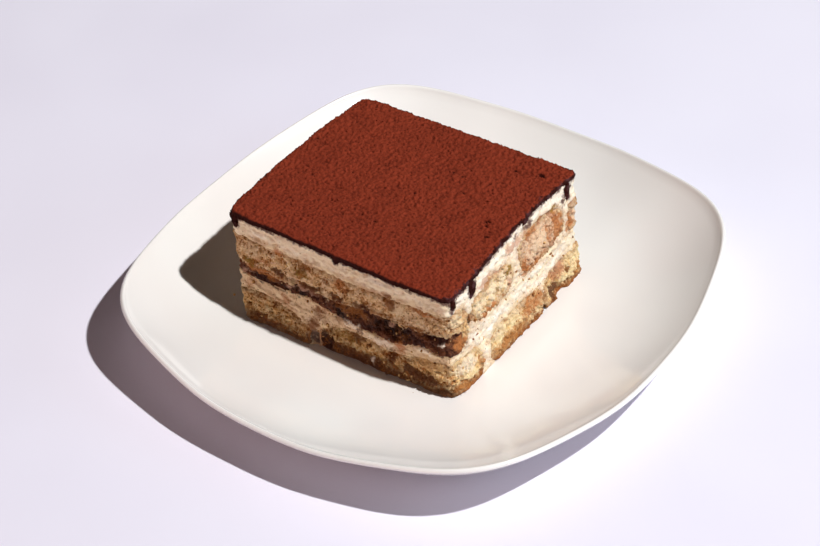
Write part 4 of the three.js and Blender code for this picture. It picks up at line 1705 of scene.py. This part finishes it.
@dataclass
class Studio:
    """Floor, lights and camera."""

    azimuth: float = 38.567
    elevation: float = 39.957
    roll: float = -3.87
    distance: float = 839.4
    target: tuple[float, float, float] = (-17.53, 12.79, 0.0)
    lens: float = 97.28
    sensor: float = 36.0
    lamps: tuple[Lamp, ...] = (
        Lamp("key_lamp", (555.0, 78.0, 900.0), 30.0, 12.5, even=True),
        Lamp("soft_right", (1277.0, 596.0, 513.0), 900.0, 6.5, (0.65, 0.86, 1.0)),
        Lamp("soft_left", (-1025.0, -1025.0, 388.0), 900.0, 2.6, (1.0, 0.68, 0.6)),
        Lamp("soft_front", (260.0, -1462.0, 209.0), 900.0, 5.0, (1.0, 0.7, 0.62)),
    )
    floor_size: float = 6000.0

    def build(self, table: bpy.types.Material) -> None:
        """Sets the stage up.

        Args:
            table: Finish of the floor.
        """
        self.floor(table)
        for lamp in self.lamps:
            lamp.hang()
        self.world()
        self.camera()

    def floor(self, table: bpy.types.Material) -> None:
        """Lays the plain floor.

        Args:
            table: Its finish.
        """
        half = self.floor_size / 2 * MM
        mesh = bpy.data.meshes.new("table_top")
        corners = [(-half, -half, 0), (half, -half, 0), (half, half, 0), (-half, half, 0)]
        mesh.from_pydata(corners, [], [(0, 1, 2, 3)])
        mesh.materials.append(table)
        new_object("table_top", mesh)

    def world(self) -> None:
        """Keeps the sky dark, so that the lamps alone light the slice."""
        world = bpy.data.worlds.new("studio")
        world.use_nodes = True
        world.node_tree.nodes["Background"].inputs["Strength"].default_value = 0.0
        bpy.context.scene.world = world

    def camera(self) -> None:
        """Places the camera at the measured angle."""
        azimuth, elevation, roll = (math.radians(a) for a in (self.azimuth, self.elevation, self.roll))
        flat = math.cos(elevation)
        back = Vector((math.sin(azimuth) * flat, -math.cos(azimuth) * flat, math.sin(elevation)))
        level = Vector((math.cos(azimuth), math.sin(azimuth), 0))
        above = back.cross(level)
        right = math.cos(roll) * level + math.sin(roll) * above
        up = -math.sin(roll) * level + math.cos(roll) * above
        place = (Vector(self.target) + back * self.distance) * MM
        data = bpy.data.cameras.new("camera")
        data.lens = self.lens
        data.sensor_width = self.sensor
        data.clip_start = 0.01
        camera = bpy.data.objects.new("camera", data)
        camera.matrix_world = Matrix(
            (
                (right.x, up.x, back.x, place.x),
                (right.y, up.y, back.y, place.y),
                (right.z, up.z, back.z, place.z),
                (0, 0, 0, 1),
            )
        )
        bpy.context.scene.collection.objects.link(camera)
        bpy.context.scene.camera = camera
        bpy.context.scene.view_settings.view_transform = "Standard"


# ------------------------------------------------------------------ assembly


def neighbours(nodes: Mapping[str, bpy.types.Object]) -> bpy.types.Object:
    """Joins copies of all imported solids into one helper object, which the script removes again.

    Args:
        nodes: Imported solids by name.

    Returns:
        The helper object.
    """
    shell = bmesh.new()
    for node in nodes.values():
        shell.from_mesh(node.data)
    mesh = bpy.data.meshes.new("neighbours")
    shell.to_mesh(mesh)
    shell.free()
    return new_object("neighbours", mesh)


def main() -> None:
    """Builds the slice, its plate and the stage, in that order."""
    logging.basicConfig(level=logging.INFO, format="%(message)s")
    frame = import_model()
    nodes = frame["nodes"]
    plate = Plate().build(Porcelain().material())
    around = neighbours(nodes)
    upper = Sponge("sponge_crumb", "f8e0bb", "e7be88", "a8692f", "b07040", "4a200c").material()
    toasted = Sponge(
        "toasted_crumb", "ebcaa8", "d3a27c", "a2603f", "90553a", "4a2010", crust_share=0.8, crust_reach=3.2
    ).material()
    lower = Sponge(
        "base_crumb", "f7dcab", "e4b270", "a4622a", "95531f", "341605", brown_share=0.7, foot=6.6
    ).material()
    cream = Mascarpone().material()
    soak = CoffeeSoak().material()
    cocoa = CocoaPowder().material()
    crumbly = Relief(sponge_rule, "torn_crumb").tree()
    creamy = Relief(cream_rule, "knife_drawn_cream").tree()
    sodden = Relief(soak_rule, "sodden_crumb").tree()
    dusty = Relief(cocoa_rule, "settled_cocoa", smoothing=8).tree()
    blots = {Side.FRONT: FRONT_BLOTS, Side.RIGHT: RIGHT_BLOTS}
    shaping = Shaping(nodes, around, skin_tree(), Stains(blots).tree())
    pieces = [
        FoodPiece("cocoa_top", "cocoa", dusty, cocoa, voxel=0.35),
        FoodPiece("cream_upper", "mascarpone_cream", creamy, cream),
        FoodPiece("cream_lower", "mascarpone_cream", creamy, cream),
        FoodPiece("soaked_layer", "coffee_soak", sodden, soak),
    ]
    for number, finish in enumerate((upper, upper, toasted, toasted), start=1):
        pieces.append(FoodPiece(f"upper_ladyfinger_{number}", "sponge", crumbly, finish))
    for name in ("1_left", "1_right", "2", "3"):
        pieces.append(FoodPiece(f"lower_ladyfinger_{name}", "base_sponge", crumbly, lower))
    built = [piece.build(shaping) for piece in pieces]
    bpy.data.objects.remove(around)
    crumb = LooseCrumb().material()
    crumbs = Scatter("sponge_crumbs", "sponge", crumb_rule, crumb, 0.9, 12.0, (0.5, 1.7), 5)
    crumbs.build([plate, *built[1:]])
    grains = Scatter("cocoa_grains", "cocoa", grain_rule, cocoa, 0.8, 30.0, (0.4, 1.3), 9)
    grains.build(built[:1])
    Studio().build(TableTop().material())


if __name__ == "__main__":
    main()
